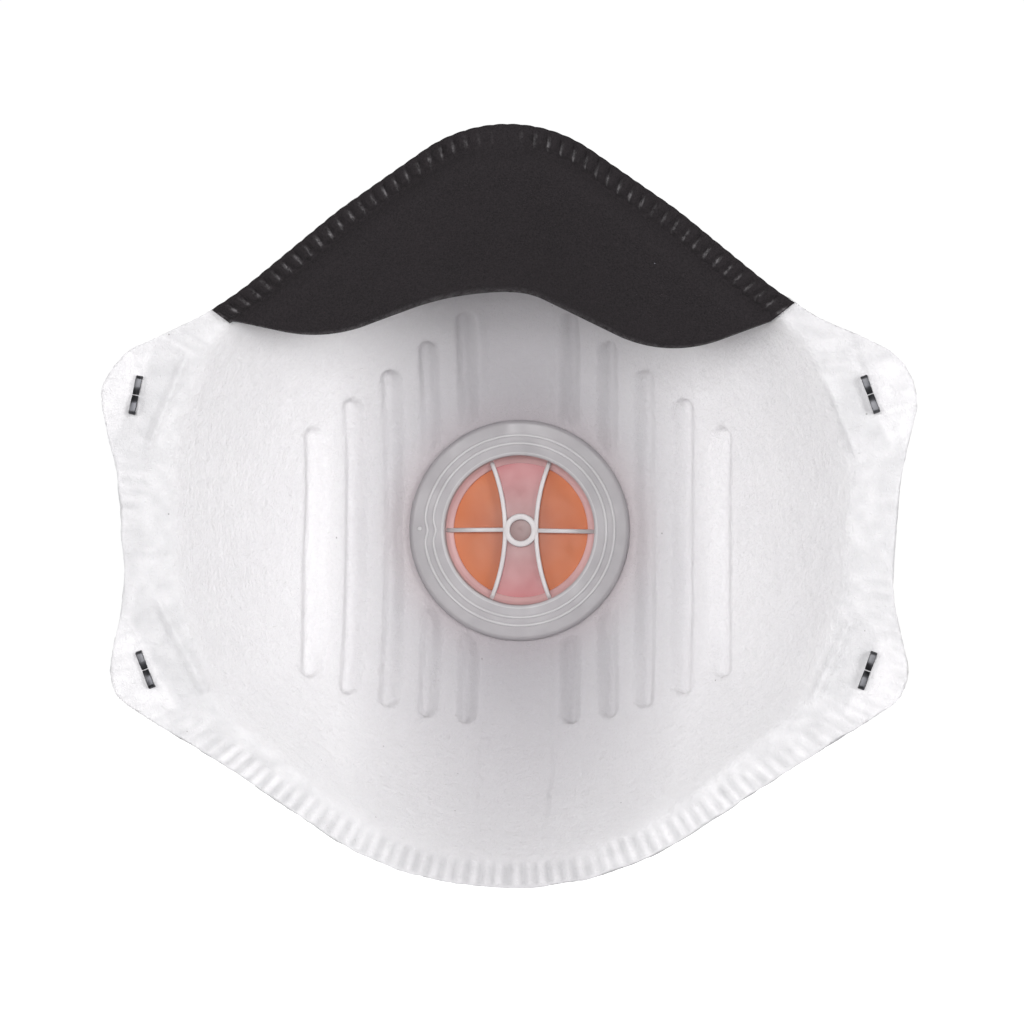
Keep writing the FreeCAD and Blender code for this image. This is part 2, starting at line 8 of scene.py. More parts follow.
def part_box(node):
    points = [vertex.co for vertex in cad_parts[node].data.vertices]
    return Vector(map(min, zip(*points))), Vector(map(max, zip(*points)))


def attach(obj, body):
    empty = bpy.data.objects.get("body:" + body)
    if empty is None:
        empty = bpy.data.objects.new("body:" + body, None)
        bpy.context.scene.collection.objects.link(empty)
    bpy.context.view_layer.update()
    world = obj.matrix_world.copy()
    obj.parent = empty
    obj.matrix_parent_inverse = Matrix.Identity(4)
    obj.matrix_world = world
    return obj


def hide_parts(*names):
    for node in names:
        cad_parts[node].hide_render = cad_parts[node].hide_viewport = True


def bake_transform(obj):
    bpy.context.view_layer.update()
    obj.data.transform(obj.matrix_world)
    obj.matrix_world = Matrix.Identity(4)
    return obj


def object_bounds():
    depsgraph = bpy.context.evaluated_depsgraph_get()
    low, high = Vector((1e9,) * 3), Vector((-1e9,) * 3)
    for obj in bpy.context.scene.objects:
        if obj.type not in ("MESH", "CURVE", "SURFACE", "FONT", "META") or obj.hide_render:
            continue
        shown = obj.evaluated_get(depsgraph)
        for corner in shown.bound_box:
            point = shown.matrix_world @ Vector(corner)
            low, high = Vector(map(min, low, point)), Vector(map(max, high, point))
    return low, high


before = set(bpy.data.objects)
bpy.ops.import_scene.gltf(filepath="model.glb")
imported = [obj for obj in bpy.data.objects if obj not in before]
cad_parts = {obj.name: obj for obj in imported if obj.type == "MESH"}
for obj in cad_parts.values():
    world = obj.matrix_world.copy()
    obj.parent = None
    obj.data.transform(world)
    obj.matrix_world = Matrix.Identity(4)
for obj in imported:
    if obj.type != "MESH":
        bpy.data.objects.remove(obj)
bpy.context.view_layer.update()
MM = 0.001

# ---------- sizes from the frame, in mm


def box_mm(node):
    low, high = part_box(node)
    return np.array(low) / MM, np.array(high) / MM


lining_high = box_mm("inner_lining")[1]
seat_low, seat_high = box_mm("valve_seat")
strip_low, strip_high = box_mm("diaphragm_strip")

# Thicknesses of the four webs, face side first: lining, shell, filter and outer web.
WEB_THICKS = (0.4, 0.9, 0.6, 0.4)
WEB_GAP = 0.1
STACK = sum(WEB_THICKS) + 3 * WEB_GAP

CUP_DEPTH = lining_high[1] - WEB_THICKS[0]
VALVE_DROP = -(seat_low[2] + seat_high[2]) / 2
HOLE_RADIUS = 14.85
FLAT_RADIUS = 21.5
CORNER_ROUND = 1.6

# Right halves of the outlines in the rim plane, nose to chin. Each corner is where two straight
# runs would meet: its distance from the middle, its height, and the radius that rounds it.
RIM = {"nose": (0.0, 73.2, 26.0), "bridge": (30.0, 52.3, 60.0), "brow": (50.5, 35.5, 60.0),
       "ear": (74.0, 24.5, 11.0), "side": (69.3, 5.5, 40.0), "waist": (67.8, -15.5, 40.0),
       "jaw": (71.8, -32.8, 8.0), "cheek": (50.0, -46.3, 80.0), "chin": (0.0, -79.4, 60.0)}
MOUTH = {"nose": (0.0, 67.4, 20.0), "temple": (53.0, 29.3, 20.0), "side": (59.6, 9.0, 40.0),
         "waist": (58.6, -15.0, 40.0), "jaw": (52.0, -35.5, 20.0), "chin": (0.0, -76.1, 50.0)}
FOAM_EDGE = {"crest": (0.0, 39.8, 14.0), "trough": (28.0, 26.0, 24.0), "end": (54.0, 35.2, 0.0)}
# The foam was laid a little askew, so its free edge is flatter on the left.
FOAM_EDGE_LEFT = {"crest": (0.0, 41.7, 50.0), "trough": (32.6, 29.4, 26.0), "end": (54.0, 33.9, 0.0)}

# Moulded ribs on the right half: distances from the middle. Their tops lie on a slanted line and
# their feet on a curve.
RIB_PLACES = (9.45, 16.4, 23.35, 30.3, 37.25)
RIB_TOP = 42.4
RIB_TOP_FALL = 0.757
RIB_FOOT = -40.2
RIB_FOOT_RISE = 0.0069
RIB_DEPTH = 2.3
# The flat band between the middle two ribs.
BAND_DEPTH = 0.5
BAND_HALF = 6.3
# The ribs fade out just outside the valve seat.
RIB_FADE = (21.2, 23.0)

# Staples: place in the rim plane and lean, in mm and degrees. A positive lean moves the top
# towards +X.
STAPLES = {"staple_upper_left": (-65.9, 19.7, 12.0), "staple_upper_right": (63.9, 19.7, -20.0),
           "staple_lower_left": (-64.2, -28.9, -21.0), "staple_lower_right": (63.4, -28.9, 20.0)}
STAPLE_LENGTH = 7.0


# ---------- small numeric helpers

class Noise:
    """Smooth value noise over two coordinates, with a fixed seed."""

    def __init__(self, seed):
        self.grid = np.random.default_rng(seed).uniform(-1, 1, (64, 64))

    def __call__(self, a, b, scale):
        a = np.asarray(a) / scale
        b = np.asarray(b) / scale
        i = np.floor(a).astype(int)
        j = np.floor(b).astype(int)
        u = a - i
        v = b - j
        u = u * u * (3 - 2 * u)
        v = v * v * (3 - 2 * v)
        g = self.grid
        low = g[i % 64, j % 64] * (1 - u) + g[(i + 1) % 64, j % 64] * u
        high = g[i % 64, (j + 1) % 64] * (1 - u) + g[(i + 1) % 64, (j + 1) % 64] * u
        return low * (1 - v) + high * v


noise = Noise(7)
noise_b = Noise(19)


def along_line(source, value, scale, row=0.0):
    """Noise along a single coordinate."""
    return source(value, np.full_like(value, row), scale)


def ramp(low, high, value):
    """0 below low, 1 above high, smooth between."""
    t = np.clip((np.asarray(value, dtype=float) - low) / (high - low), 0, 1)
    return t * t * (3 - 2 * t)


def wrapped(turn):
    """The same turn, from -pi to pi."""
    return (np.asarray(turn) + math.pi) % (2 * math.pi) - math.pi


def unit(vectors):
    """The same vector, or row of vectors, one long."""
    return vectors / np.linalg.norm(vectors, axis=-1, keepdims=True)


class Outline:
    """A left-right symmetric line round the valve axis, made of straight runs and the arcs that
    round its corners: its radius for each turn from the nose."""

    def __init__(self, corners):
        places = [np.array([across, up + VALVE_DROP]) for across, up, _ in corners.values()]
        mirror = np.array([-1.0, 1.0])
        places = [places[1] * mirror] + places + [places[-2] * mirror]
        spans = []
        for i, (_, _, rounding) in enumerate(corners.values(), start=1):
            corner = places[i]
            come = unit(corner - places[i - 1])
            if rounding > 0:
                go = unit(places[i + 1] - corner)
                bend = come[0] * go[1] - come[1] * go[0]
                cut = rounding * math.tan(math.acos(come @ go) / 2)
                signed = -math.copysign(rounding, bend)
                start = corner - come * cut
                centre = start - np.array([-come[1], come[0]]) * signed
                spans.append((self.turn_of(start), 0.0, corner, come))
                spans.append((self.turn_of(corner + go * cut), signed, centre, come))
            else:
                spans.append((self.turn_of(corner), 0.0, corner, come))
        spans = spans[1:]
        self.ends = np.array([span[0] for span in spans])
        self.signed = np.array([span[1] for span in spans])
        self.place = np.array([span[2] for span in spans])
        self.way = np.array([span[3] for span in spans])

    @staticmethod
    def turn_of(place):
        return math.atan2(place[0], place[1]) % (2 * math.pi)

    def __call__(self, turn):
        turn = np.abs(wrapped(turn))
        index = np.searchsorted(self.ends[:-1], turn)
        across = np.sin(turn)
        up = np.cos(turn)
        place = self.place[index]
        way = self.way[index]
        signed = self.signed[index]
        with np.errstate(divide="ignore", invalid="ignore"):
            line = (place[..., 0] * way[..., 1] - place[..., 1] * way[..., 0]) / (
                across * way[..., 1] - up * way[..., 0])
        along = across * place[..., 0] + up * place[..., 1]
        reach = np.sqrt(np.maximum(along**2 - (place**2).sum(-1) + signed**2, 0))
        return np.where(signed == 0, line, along + np.sign(signed) * reach)


rim = Outline(RIM)
mouth = Outline(MOUTH)
foam_right = Outline(FOAM_EDGE)
foam_left = Outline(FOAM_EDGE_LEFT)


def foam_edge(turn):
    return np.where(turn < 0, foam_left(turn), foam_right(turn))


# Length along the rim from the nose, for evenly spaced weld bars.
_turns = np.linspace(0, math.pi, 721)
_points = np.stack([rim(_turns) * np.sin(_turns), rim(_turns) * np.cos(_turns)])
_lengths = np.concatenate([[0], np.cumsum(np.hypot(*np.diff(_points)))])


def rim_length(turn):
    """Distance along the rim from the nose, negative on the -X side. turn is from -pi to pi."""
    return np.sign(turn) * np.interp(np.abs(turn), _turns, _lengths)


def cup_depth_at(turn, radius):
    share = np.maximum(0.0, (radius - FLAT_RADIUS) / (mouth(turn) - FLAT_RADIUS))
    rise = CUP_DEPTH * (1 - share**2)
    return (rise + np.sqrt(rise**2 + 4 * CORNER_ROUND**2 * (1 - rise / CUP_DEPTH))) / 2


def plan(turn, radius):
    """Across and up in the rim plane."""
    return radius * np.sin(turn), radius * np.cos(turn) - VALVE_DROP


def cup_place(turn, radius):
    x, z = plan(turn, radius)
    return np.stack([x, cup_depth_at(turn, radius), z], axis=-1)


def cup_frame(turn, radius):
    """Points of the cup's face side and their outward unit normals."""
    step = 0.05
    point = cup_place(turn, radius)
    along = cup_place(turn, radius + step) - cup_place(turn, radius - step)
    around = cup_place(turn + step / radius, radius) - cup_place(turn - step / radius, radius)
    normal = unit(np.cross(along, around))
    normal *= np.sign(normal[..., 1:2])
    return point, normal


# ---------- relief of the moulded webs

# Each staple sits beside a pressed land: the two ends of the land's inner edge, the far end of the
# fold that caps it, and the folds that run from the staple's top and bottom (angle clockwise from
# upright in degrees, and length).
LANDS = {
    "staple_upper_left": ((-57.7, 26.5), (-64.4, 10.8), (-62.1, 28.2), (-23, 4.5), (-112, 4.2)),
    "staple_upper_right": ((57.2, 22.2), (62.5, 9.0), (61.5, 25.0), (-21, 8.5), (143, 4.9)),
    "staple_lower_left": ((-54.1, -33.4), (-62.6, -17.1), (-58.4, -34.6), (-31, 4.4), (155, 5.4)),
    "staple_lower_right": ((54.4, -34.6), (61.1, -20.6), (58.9, -37.1), (46, 4.2), (176, 5.7)),
}
WELD_PITCH = 2.4
LAND_DEPTH = 0.5
LAND_WIDTH = 5.8
RIDGE_HEIGHT = 0.8
FOLD_DEPTH = 0.6


def near_segment(x, z, start, end):
    """Distance from points to a straight line between two ends."""
    a = np.array(start)
    d = np.array(end) - a
    share = np.clip(((x - a[0]) * d[0] + (z - a[1]) * d[1]) / (d @ d), 0, 1)
    return np.hypot(x - a[0] - share * d[0], z - a[1] - share * d[1])


def land_relief(x, z, radius, edge):
    """Pressed lands beside the staples, each with a ridge along its inner edge, and short folds: how
    far they stand out, and how much thinner and greyer the web looks there."""
    total = np.zeros_like(x)
    tone = np.zeros_like(x)
    for name, (first, second, cap, *tails) in LANDS.items():
        across, up, lean = STAPLES[name]
        first = np.array(first)
        way = np.array(second) - first
        length = np.linalg.norm(way)
        way = way / length
        side = np.array([way[1], -way[0]])
        side *= np.sign(side @ (np.array([across, up]) - first))
        along = (x - first[0]) * way[0] + (z - first[1]) * way[1]
        away = (x - first[0]) * side[0] + (z - first[1]) * side[1]
        ends = ramp(-0.6, 1.0, along) * (1 - ramp(length - 2.0, length + 2.5, along))
        pressed = ramp(-0.5, 0.6, away) * (1 - ramp(LAND_WIDTH - 1.4, LAND_WIDTH, away))
        total += LAND_DEPTH * pressed * ends
        tone += (0.16 * pressed - 0.3 * ramp(LAND_WIDTH - 1.4, LAND_WIDTH, away)) * ends
        total -= RIDGE_HEIGHT * np.exp(-((away + 0.75) / 0.62)**2) * ends
        total += 0.3 * (1 - ramp(0.1, 1.1, near_segment(x, z, first, cap)))
        turn = math.radians(lean)
        half = STAPLE_LENGTH / 2
        for sign, (angle, reach) in zip((1, -1), tails):
            start = (across + sign * half * math.sin(turn), up + sign * half * math.cos(turn))
            angle = math.radians(angle)
            end = (start[0] + reach * math.sin(angle), start[1] + reach * math.cos(angle))
            total += FOLD_DEPTH * (1 - ramp(0.1, 1.15, near_segment(x, z, start, end)))
        pull = near_segment(x, z, (across, up - 2.5), (across, up + 2.5))
        total += 0.22 * (1 - ramp(0.3, 2.6, pull))
    near_edge = ramp(edge - 5.0, edge - 2.0, radius)
    return total * near_edge, tone * near_edge


def rib_relief(x, z, from_valve):
    """Straight upright ribs, pressed outwards, and the wide flat band between the middle two."""
    total = np.zeros_like(x)
    for index, middle in enumerate(RIB_PLACES):
        high = RIB_TOP - RIB_TOP_FALL * middle
        low = RIB_FOOT + RIB_FOOT_RISE * middle**2
        for side in (-1, 1):
            wander = 0.3 * along_line(noise, z + 37 * index, 17.0, 11.0 * side)
            beyond = np.maximum(np.maximum(z - high + 1.5, low + 1.5 - z), 0)
            away = np.hypot(x - side * middle - wander, beyond)
            strength = 0.85 + 0.25 * noise_b(z, x, 14.0)
            total = np.maximum(total, strength * (1 - ramp(0.2, 2.3, away)))
    wide = BAND_HALF + 0.25 * along_line(noise, z, 9.0)
    above = np.clip(z - (36.0 - (x / 4.5)**2), 0, None)
    below = np.clip(-52.0 - z, 0, None)
    band = 1 - ramp(-0.7, 0.9, np.abs(x) - wide)
    band = band * (1 - ramp(0, 3.0, above)) * (1 - ramp(0, 9.0, below))
    return (RIB_DEPTH * total + BAND_DEPTH * band) * ramp(*RIB_FADE, from_valve)


def weld_relief(turn, radius):
    """Short bars pressed across the flange, towards the face, strongest round the chin."""
    inset = rim(turn) - radius
    length = rim_length(turn)
    phase = (length + 0.5 * along_line(noise, length, 21.0)) / WELD_PITCH
    bar = np.cos(2 * math.pi * phase)
    bar = np.sign(bar) * np.abs(bar)**0.6
    angle = np.degrees(np.abs(turn))
    chin = ramp(112, 132, angle)
    side = (1 - chin) * ramp(50, 60, angle)
    patchy = ramp(-0.15, 0.35, noise_b(length, inset, 6.5))
    strength = 0.36 * chin * (0.8 + 0.35 * noise_b(length, inset, 5.0)) + 0.13 * side * patchy
    reach = 4.6 + 0.5 * along_line(noise, length, 8.0) + side * 1.6
    window = ramp(0.35, 0.9, inset) * (1 - ramp(reach - 1.0, reach + 0.5, inset))
    return -strength * bar * window


def relief(turn, radius):
    """How far the moulded webs stand out from the smooth cup, in mm along its normal."""
    turn = wrapped(turn)
    x, z = plan(turn, radius)
    flange = ramp(mouth(turn) - 1.0, mouth(turn) + 2.0, radius)
    total = rib_relief(x, z, radius)
    total += weld_relief(turn, radius)
    total += land_relief(x, z, radius, mouth(turn))[0]
    wave = 0.35 * noise(x, z, 23.0) + 0.16 * noise_b(x, z, 9.0) + 0.07 * noise(x + 40, z, 3.7)
    ripple = 0.14 * noise_b(x + 9, z - 5, 4.6) + 0.1 * noise(x, z + 31, 2.3)
    calm = ramp(20.6, 27.0, radius)
    total += calm * (wave * (0.35 + 0.4 * flange) + ripple * (0.25 + 1.5 * flange))
    return total


# ---------- mesh helpers

def in_scene(name, data):
    """A new object in the scene that shows the given mesh, light or camera."""
    piece = bpy.data.objects.new(name, data)
    bpy.context.scene.collection.objects.link(piece)
    return piece


def mesh_object(name, vertices, faces, smooth=True):
    """An object from points in mm and faces of any size."""
    mesh = bpy.data.meshes.new(name)
    mesh.from_pydata([tuple(v) for v in np.asarray(vertices) * MM], [], faces)
    mesh.update()
    mesh.polygons.foreach_set("use_smooth", [smooth] * len(mesh.polygons))
    return in_scene(name, mesh)


def facing_out(piece):
    """Turn all of a closed piece's faces outwards."""
    work = bmesh.new()
    work.from_mesh(piece.data)
    bmesh.ops.recalc_face_normals(work, faces=work.faces)
    work.to_mesh(piece.data)
    work.free()
    return piece


def grid_faces(rows, columns, start=0, closed_rows=False, flip=False):
    """Quads over a grid of points numbered row by row from start."""
    faces = []
    for i in range(rows if closed_rows else rows - 1):
        a = start + i * columns
        b = start + ((i + 1) % rows) * columns
        for j in range(columns - 1):
            quad = (a + j, a + j + 1, b + j + 1, b + j)
            faces.append(quad[::-1] if flip else quad)
    return faces


def slab(name, fine, coarse, closed):
    """A closed piece between a fine grid and a grid with half its rows and columns. Row i, column j
    of the coarse grid lies behind row 2i, column 2j of the fine one."""
    rows, columns = fine.shape[:2]
    back_rows, back_columns = coarse.shape[:2]
    points = np.concatenate([fine.reshape(-1, 3), coarse.reshape(-1, 3)])
    base = rows * columns
    faces = grid_faces(rows, columns, 0, closed)
    faces += grid_faces(back_rows, back_columns, base, closed, flip=True)

    def stitch(front, back, flip):
        for k in range(len(back) - 1):
            triangles = ((front[2 * k], front[2 * k + 1], back[k]),
                         (front[2 * k + 1], back[k + 1], back[k]),
                         (front[2 * k + 1], front[2 * k + 2], back[k + 1]))
            for triangle in triangles:
                faces.append(triangle[::-1] if flip else triangle)

    for column, flip in ((0, False), (columns - 1, True)):
        front = [i * columns + column for i in range(rows)]
        back = [base + i * back_columns + column // 2 for i in range(back_rows)]
        if closed:
            front.append(front[0])
            back.append(back[0])
        stitch(front, back, flip)
    if not closed:
        for row, flip in ((0, True), (rows - 1, False)):
            front = [row * columns + j for j in range(columns)]
            back = [base + (row // 2) * back_columns + j for j in range(back_columns)]
            stitch(front, back, flip)
    return facing_out(mesh_object(name, points, faces))


def swept(name, rings, closed=False):
    """A skin over equal rings of points, joined up end to start or capped at both ends."""
    count = len(rings[0])
    stations = len(rings)
    faces = []
    for i in range(stations if closed else stations - 1):
        a = i * count
        b = ((i + 1) % stations) * count
        for j in range(count):
            k = (j + 1) % count
            faces.append((a + j, a + k, b + k, b + j))
    if not closed:
        faces.append(tuple(range(count))[::-1])
        faces.append(tuple((stations - 1) * count + j for j in range(count)))
    points = np.asarray(rings).reshape(-1, 3)
    return facing_out(mesh_object(name, points, faces))


def sideways(line):
    """Unit vectors across a flat line of points."""
    ahead = unit(np.gradient(line, axis=0))
    return np.stack([-ahead[:, 1], ahead[:, 0]], axis=1)


def point_layer(piece, name, values):
    """One number for each point of a piece, read by its material."""
    layer = piece.data.attributes.new(name, "FLOAT", "POINT")
    layer.data.foreach_set("value", np.clip(values, 0, 1).astype(np.float32))


# ---------- materials

class Nodes:
    """Small helper that adds and links shader nodes in one material."""

    def __init__(self, name):
        self.material = bpy.data.materials.new(name)
        self.material.use_nodes = True
        self.tree = self.material.node_tree
        self.shader = self.tree.nodes["Principled BSDF"]
        self.output = self.tree.nodes["Material Output"]

    def add(self, kind, inputs=None, **settings):
        node = self.tree.nodes.new(kind)
        for key, value in settings.items():
            setattr(node, key, value)
        for key, value in (inputs or {}).items():
            self.feed(node.inputs[key], value)
        return node

    def feed(self, socket, value):
        if isinstance(value, bpy.types.NodeSocket):
            self.tree.links.new(value, socket)
        else:
            socket.default_value = value

    def set(self, **inputs):
        for key, value in inputs.items():
            self.feed(self.shader.inputs[key.replace("_", " ")], value)

    def coordinates(self):
        return self.add("ShaderNodeTexCoord").outputs["Object"]

    def noise(self, scale, detail=3.0, roughness=0.5, vector=None, distortion=0.0):
        return self.add("ShaderNodeTexNoise", {
            "Scale": scale, "Detail": detail, "Roughness": roughness, "Distortion": distortion,
            "Vector": vector or self.coordinates()}).outputs["Fac"]

    def range(self, value, low, high, to_low=0.0, to_high=1.0):
        return self.add("ShaderNodeMapRange", {
            "Value": value, "From Min": low, "From Max": high, "To Min": to_low,
            "To Max": to_high}).outputs["Result"]

    def math(self, operation, first, second=0.0):
        return self.add("ShaderNodeMath", {0: first, 1: second}, operation=operation).outputs[0]

    def mix(self, share, first, second):
        return self.add("ShaderNodeMix", {"Factor": share, "A": first, "B": second},
                        data_type="RGBA").outputs["Result"]

    def over(self, base, colour, mask, strength):
        """colour laid over base where mask is high."""
        return self.mix(self.math("MULTIPLY", mask, strength), base, colour)

    def clouds(self, scale, detail, roughness, low=0.3, high=0.7):
        """Noise spread from 0 to 1."""
        return self.range(self.noise(scale, detail, roughness), low, high)

    def specks(self, base, colour, scale, size, rarity):
        """Small scattered dots of another colour."""
        cells = self.add("ShaderNodeTexVoronoi", {"Vector": self.coordinates(), "Scale": scale})
        split = self.add("ShaderNodeSeparateColor", {"Color": cells.outputs["Color"]})
        chance = self.math("GREATER_THAN", split.outputs[0], rarity)
        dot = self.math("MULTIPLY", self.math("LESS_THAN", cells.outputs["Distance"], size), chance)
        return self.over(base, colour, dot, 0.5)

    def moved(self, location, scale):
        """Coordinates scaled and then shifted."""
        return self.add("ShaderNodeMapping", {
            "Vector": self.coordinates(), "Location": location, "Scale": scale}).outputs["Vector"]

    def distance(self, location, scale):
        return self.add("ShaderNodeVectorMath", {0: self.moved(location, scale)},
                        operation="LENGTH").outputs["Value"]

    def axis_distance(self):
        """Distance from the valve's axis, in metres."""
        return self.distance((0, 0, VALVE_DROP * MM), (1, 0, 1))

    def painted(self, name):
        """A number that the mesh carries at its points."""
        return self.add("ShaderNodeAttribute", attribute_name=name).outputs["Fac"]

    def bump(self, height, strength, distance, normal=None):
        node = self.add("ShaderNodeBump", {"Height": height, "Strength": strength, "Distance": distance})
        if normal is not None:
            self.feed(node.inputs["Normal"], normal)
        return node.outputs["Normal"]

    def stretched(self, x, y, z):
        return self.moved((0, 0, 0), (x, y, z))


def fibre_height(nodes):
    """Matted fibres of a non-woven: thin wandering strands in several directions over fine fluff."""
    strands = []
    for x, y, z in ((900, 2600, 2600), (2600, 900, 900), (1500, 2200, 1100)):
        strands.append(nodes.noise(1.0, 2.0, 0.6, nodes.stretched(x, y, z), 1.2))
    first = nodes.math("MAXIMUM", strands[0], strands[1])
    return nodes.math("MAXIMUM", first, strands[2])


def nonwoven(name, colour, shade, painted_cover_glow=None):
    """White non-woven web. Its last argument is a colour of painted light: the cover's light, painted
    round the valve where it would show through.
    """
    nodes = Nodes(name)
    base = nodes.over(colour, shade, nodes.clouds(55.0, 4.0, 0.6), 0.5)
    base = nodes.over(base, shade, nodes.clouds(1500.0, 2.0, 0.7, 0.25, 0.75), 0.7)
    base = nodes.mix(nodes.painted("pressed"), base, (0.66, 0.655, 0.67, 1))
    if painted_cover_glow is not None:
        # Painted light: a pink glow round the valve, where the cover's light would come through the web.
        glow = nodes.range(nodes.axis_distance(), 0.0195, 0.028, 1.0, 0.0)
        base = nodes.over(base, painted_cover_glow, nodes.math("POWER", glow, 1.6), 0.32)
        # Painted shade: the deep middle of the cup, where less light reaches, is painted greyer.
        reach = nodes.math("POWER", nodes.distance((0, 0, 0.06), (28, 0, 13)), 1.5)
        painted_depth_shade = nodes.range(reach, 0.0, 1.0, 1.0, 0.0)
        base = nodes.over(base, (0.34, 0.32, 0.345, 1), painted_depth_shade, 0.95)
    base = nodes.specks(base, (0.2, 0.17, 0.17, 1), 300.0, 0.05, 0.88)
    normal = nodes.bump(fibre_height(nodes), 0.9, 0.0004)
    normal = nodes.bump(nodes.noise(420.0, 3.0, 0.6), 0.5, 0.0007, normal)
    nodes.set(Base_Color=base, Roughness=0.92, Diffuse_Roughness=0.5, Normal=normal,
              Specular_IOR_Level=0.15, Sheen_Weight=0.25, Sheen_Roughness=0.6)
    return nodes.material


def foam_material():
    """Dark open-cell foam: pores painted darker as shade, painted highlights on the crushed ridges and
    cut edge, scattered pale fibres.
    """
    nodes = Nodes("foam_dark")
    cells = nodes.add("ShaderNodeTexVoronoi", {"Vector": nodes.coordinates(), "Scale": 3200.0})
    # Painted shade: the pores are darker in the colour, where the bump sinks.
    pore = nodes.range(cells.outputs["Distance"], 0.0, 0.6)
    base = nodes.mix(pore, (0.005, 0.0045, 0.005, 1), (0.018, 0.0155, 0.017, 1))
    base = nodes.over(base, (0.021, 0.017, 0.0195, 1), nodes.clouds(90.0, 3.0, 0.6), 0.4)
    grain = nodes.clouds(2600.0, 2.0, 0.8, 0.3, 0.72)
    base = nodes.over(base, (0.047, 0.039, 0.042, 1), grain, 0.3)
    base = nodes.specks(base, (0.3, 0.3, 0.34, 1), 190.0, 0.035, 0.9)
    patchy = nodes.clouds(1100.0, 3.0, 0.7, 0.35, 0.62)
    # Painted highlight: the crushed layer lightens thin lines on the weld lobes and the cut edge.
    base = nodes.over(base, (0.30, 0.285, 0.295, 1), nodes.painted("crushed"), patchy)
    normal = nodes.bump(cells.outputs["Distance"], 0.6, 0.00022)
    normal = nodes.bump(nodes.noise(700.0, 3.0, 0.65), 0.3, 0.0003, normal)
    nodes.set(Base_Color=base, Roughness=0.85, Normal=normal, Specular_IOR_Level=0.16,
              Sheen_Weight=0.05, Sheen_Roughness=0.5)
    return nodes.material


def moulded(name, low, high, roughness, alpha=1.0, specular=0.5, edge=None):
    """Moulded plastic: cloudy colour, faint flow lines and a satin face. edge is the colour far from
    the valve's axis, where more light comes through."""
    nodes = Nodes(name)
    base = nodes.mix(nodes.clouds(130.0, 3.0, 0.6), low, high)
    if edge is not None:
        base = nodes.mix(nodes.range(nodes.axis_distance(), 0.0045, 0.013), base, edge)
    flow = nodes.noise(1.0, 2.0, 0.5, nodes.stretched(300, 300, 900), 0.6)
    normal = nodes.bump(flow, 0.12, 0.0002)
    normal = nodes.bump(nodes.noise(2400.0, 2.0, 0.6), 0.1, 0.00008, normal)
    rough = nodes.range(nodes.noise(210.0, 3.0, 0.6), 0.3, 0.7, roughness - 0.06, roughness + 0.08)
    nodes.set(Base_Color=base, Roughness=rough, Normal=normal, Specular_IOR_Level=specular, Alpha=alpha)
    return nodes


def metal(name, low, high, roughness, brushed):
    """Drawn metal with fine lines along it and dull stains."""
    nodes = Nodes(name)
    lines = nodes.noise(1.0, 2.0, 0.6, nodes.stretched(*brushed), 0.0)
    base = nodes.mix(nodes.range(lines, 0.3, 0.7), low, high)
    base = nodes.over(base, low, nodes.clouds(240.0, 4.0, 0.65, 0.35, 0.7), 0.35)
    rough = nodes.range(lines, 0.3, 0.7, roughness - 0.08, roughness + 0.1)
    normal = nodes.bump(lines, 0.25, 0.00006)
    nodes.set(Base_Color=base, Roughness=rough, Normal=normal, Metallic=1.0)
    return nodes.material


def elastic_material():
    """White knitted elastic: lengthwise rubber ribs crossed by small stitches."""
    nodes = Nodes("elastic_knit")
    uv = nodes.add("ShaderNodeUVMap").outputs["UV"]
    parts = nodes.add("ShaderNodeSeparateXYZ", {"Vector": uv})
    along = nodes.math("SINE", nodes.math("MULTIPLY", parts.outputs["X"], 2 * math.pi / 0.62))
    across = nodes.math("SINE", nodes.math("MULTIPLY", parts.outputs["Y"], 2 * math.pi / 0.55))
    stitch = nodes.range(nodes.math("MULTIPLY", along, across), -1.0, 1.0)
    ribs = nodes.range(across, -1.0, 1.0)
    height = nodes.math("ADD", nodes.math("MULTIPLY", stitch, 0.6), nodes.math("MULTIPLY", ribs, 0.5))
    # Painted shade: the knit's colour is darker in its hollows, where its bump is low.
    base = nodes.mix(height, (0.52, 0.52, 0.53, 1), (0.83, 0.83, 0.82, 1))
    grime = nodes.clouds(160.0, 4.0, 0.65, 0.35, 0.75)
    base = nodes.over(base, (0.7, 0.69, 0.66, 1), grime, 0.2)
    normal = nodes.bump(height, 0.7, 0.00022)
    normal = nodes.bump(nodes.noise(2500.0, 2.0, 0.7), 0.3, 0.0001, normal)
    nodes.set(Base_Color=base, Roughness=0.8, Normal=normal, Specular_IOR_Level=0.2,
              Sheen_Weight=0.2, Sheen_Roughness=0.5)
    return nodes.material


LINING = nonwoven("lining_web", (0.95, 0.94, 0.95, 1), (0.87, 0.855, 0.875, 1),
                  painted_cover_glow=(0.78, 0.45, 0.44, 1))
SHELL = nonwoven("shell_felt", (0.84, 0.84, 0.84, 1), (0.74, 0.735, 0.745, 1))
FILTER = nonwoven("filter_media", (0.88, 0.88, 0.87, 1), (0.8, 0.8, 0.79, 1))
OUTER = nonwoven("outer_web", (0.86, 0.86, 0.86, 1), (0.77, 0.765, 0.775, 1))
FOAM = foam_material()
ELASTIC = elastic_material()
CLIP_METAL = metal("clip_metal", (0.6, 0.6, 0.62, 1), (0.82, 0.82, 0.83, 1), 0.36, (300, 3000, 3000))
STAPLE_METAL = metal("staple_wire", (0.05, 0.05, 0.055, 1), (0.16, 0.16, 0.17, 1), 0.42,
                     (900, 900, 200))
# Painted light: the milky diaphragm is coloured orange by the cover's light coming through it, stronger
# away from the axis. It is also partly see-through.
DIAPHRAGM = moulded("diaphragm_milky_painted_glow", (0.52, 0.185, 0.10, 1), (0.58, 0.24, 0.14, 1), 0.5,
                    alpha=0.6, edge=(0.74, 0.235, 0.08, 1)).material
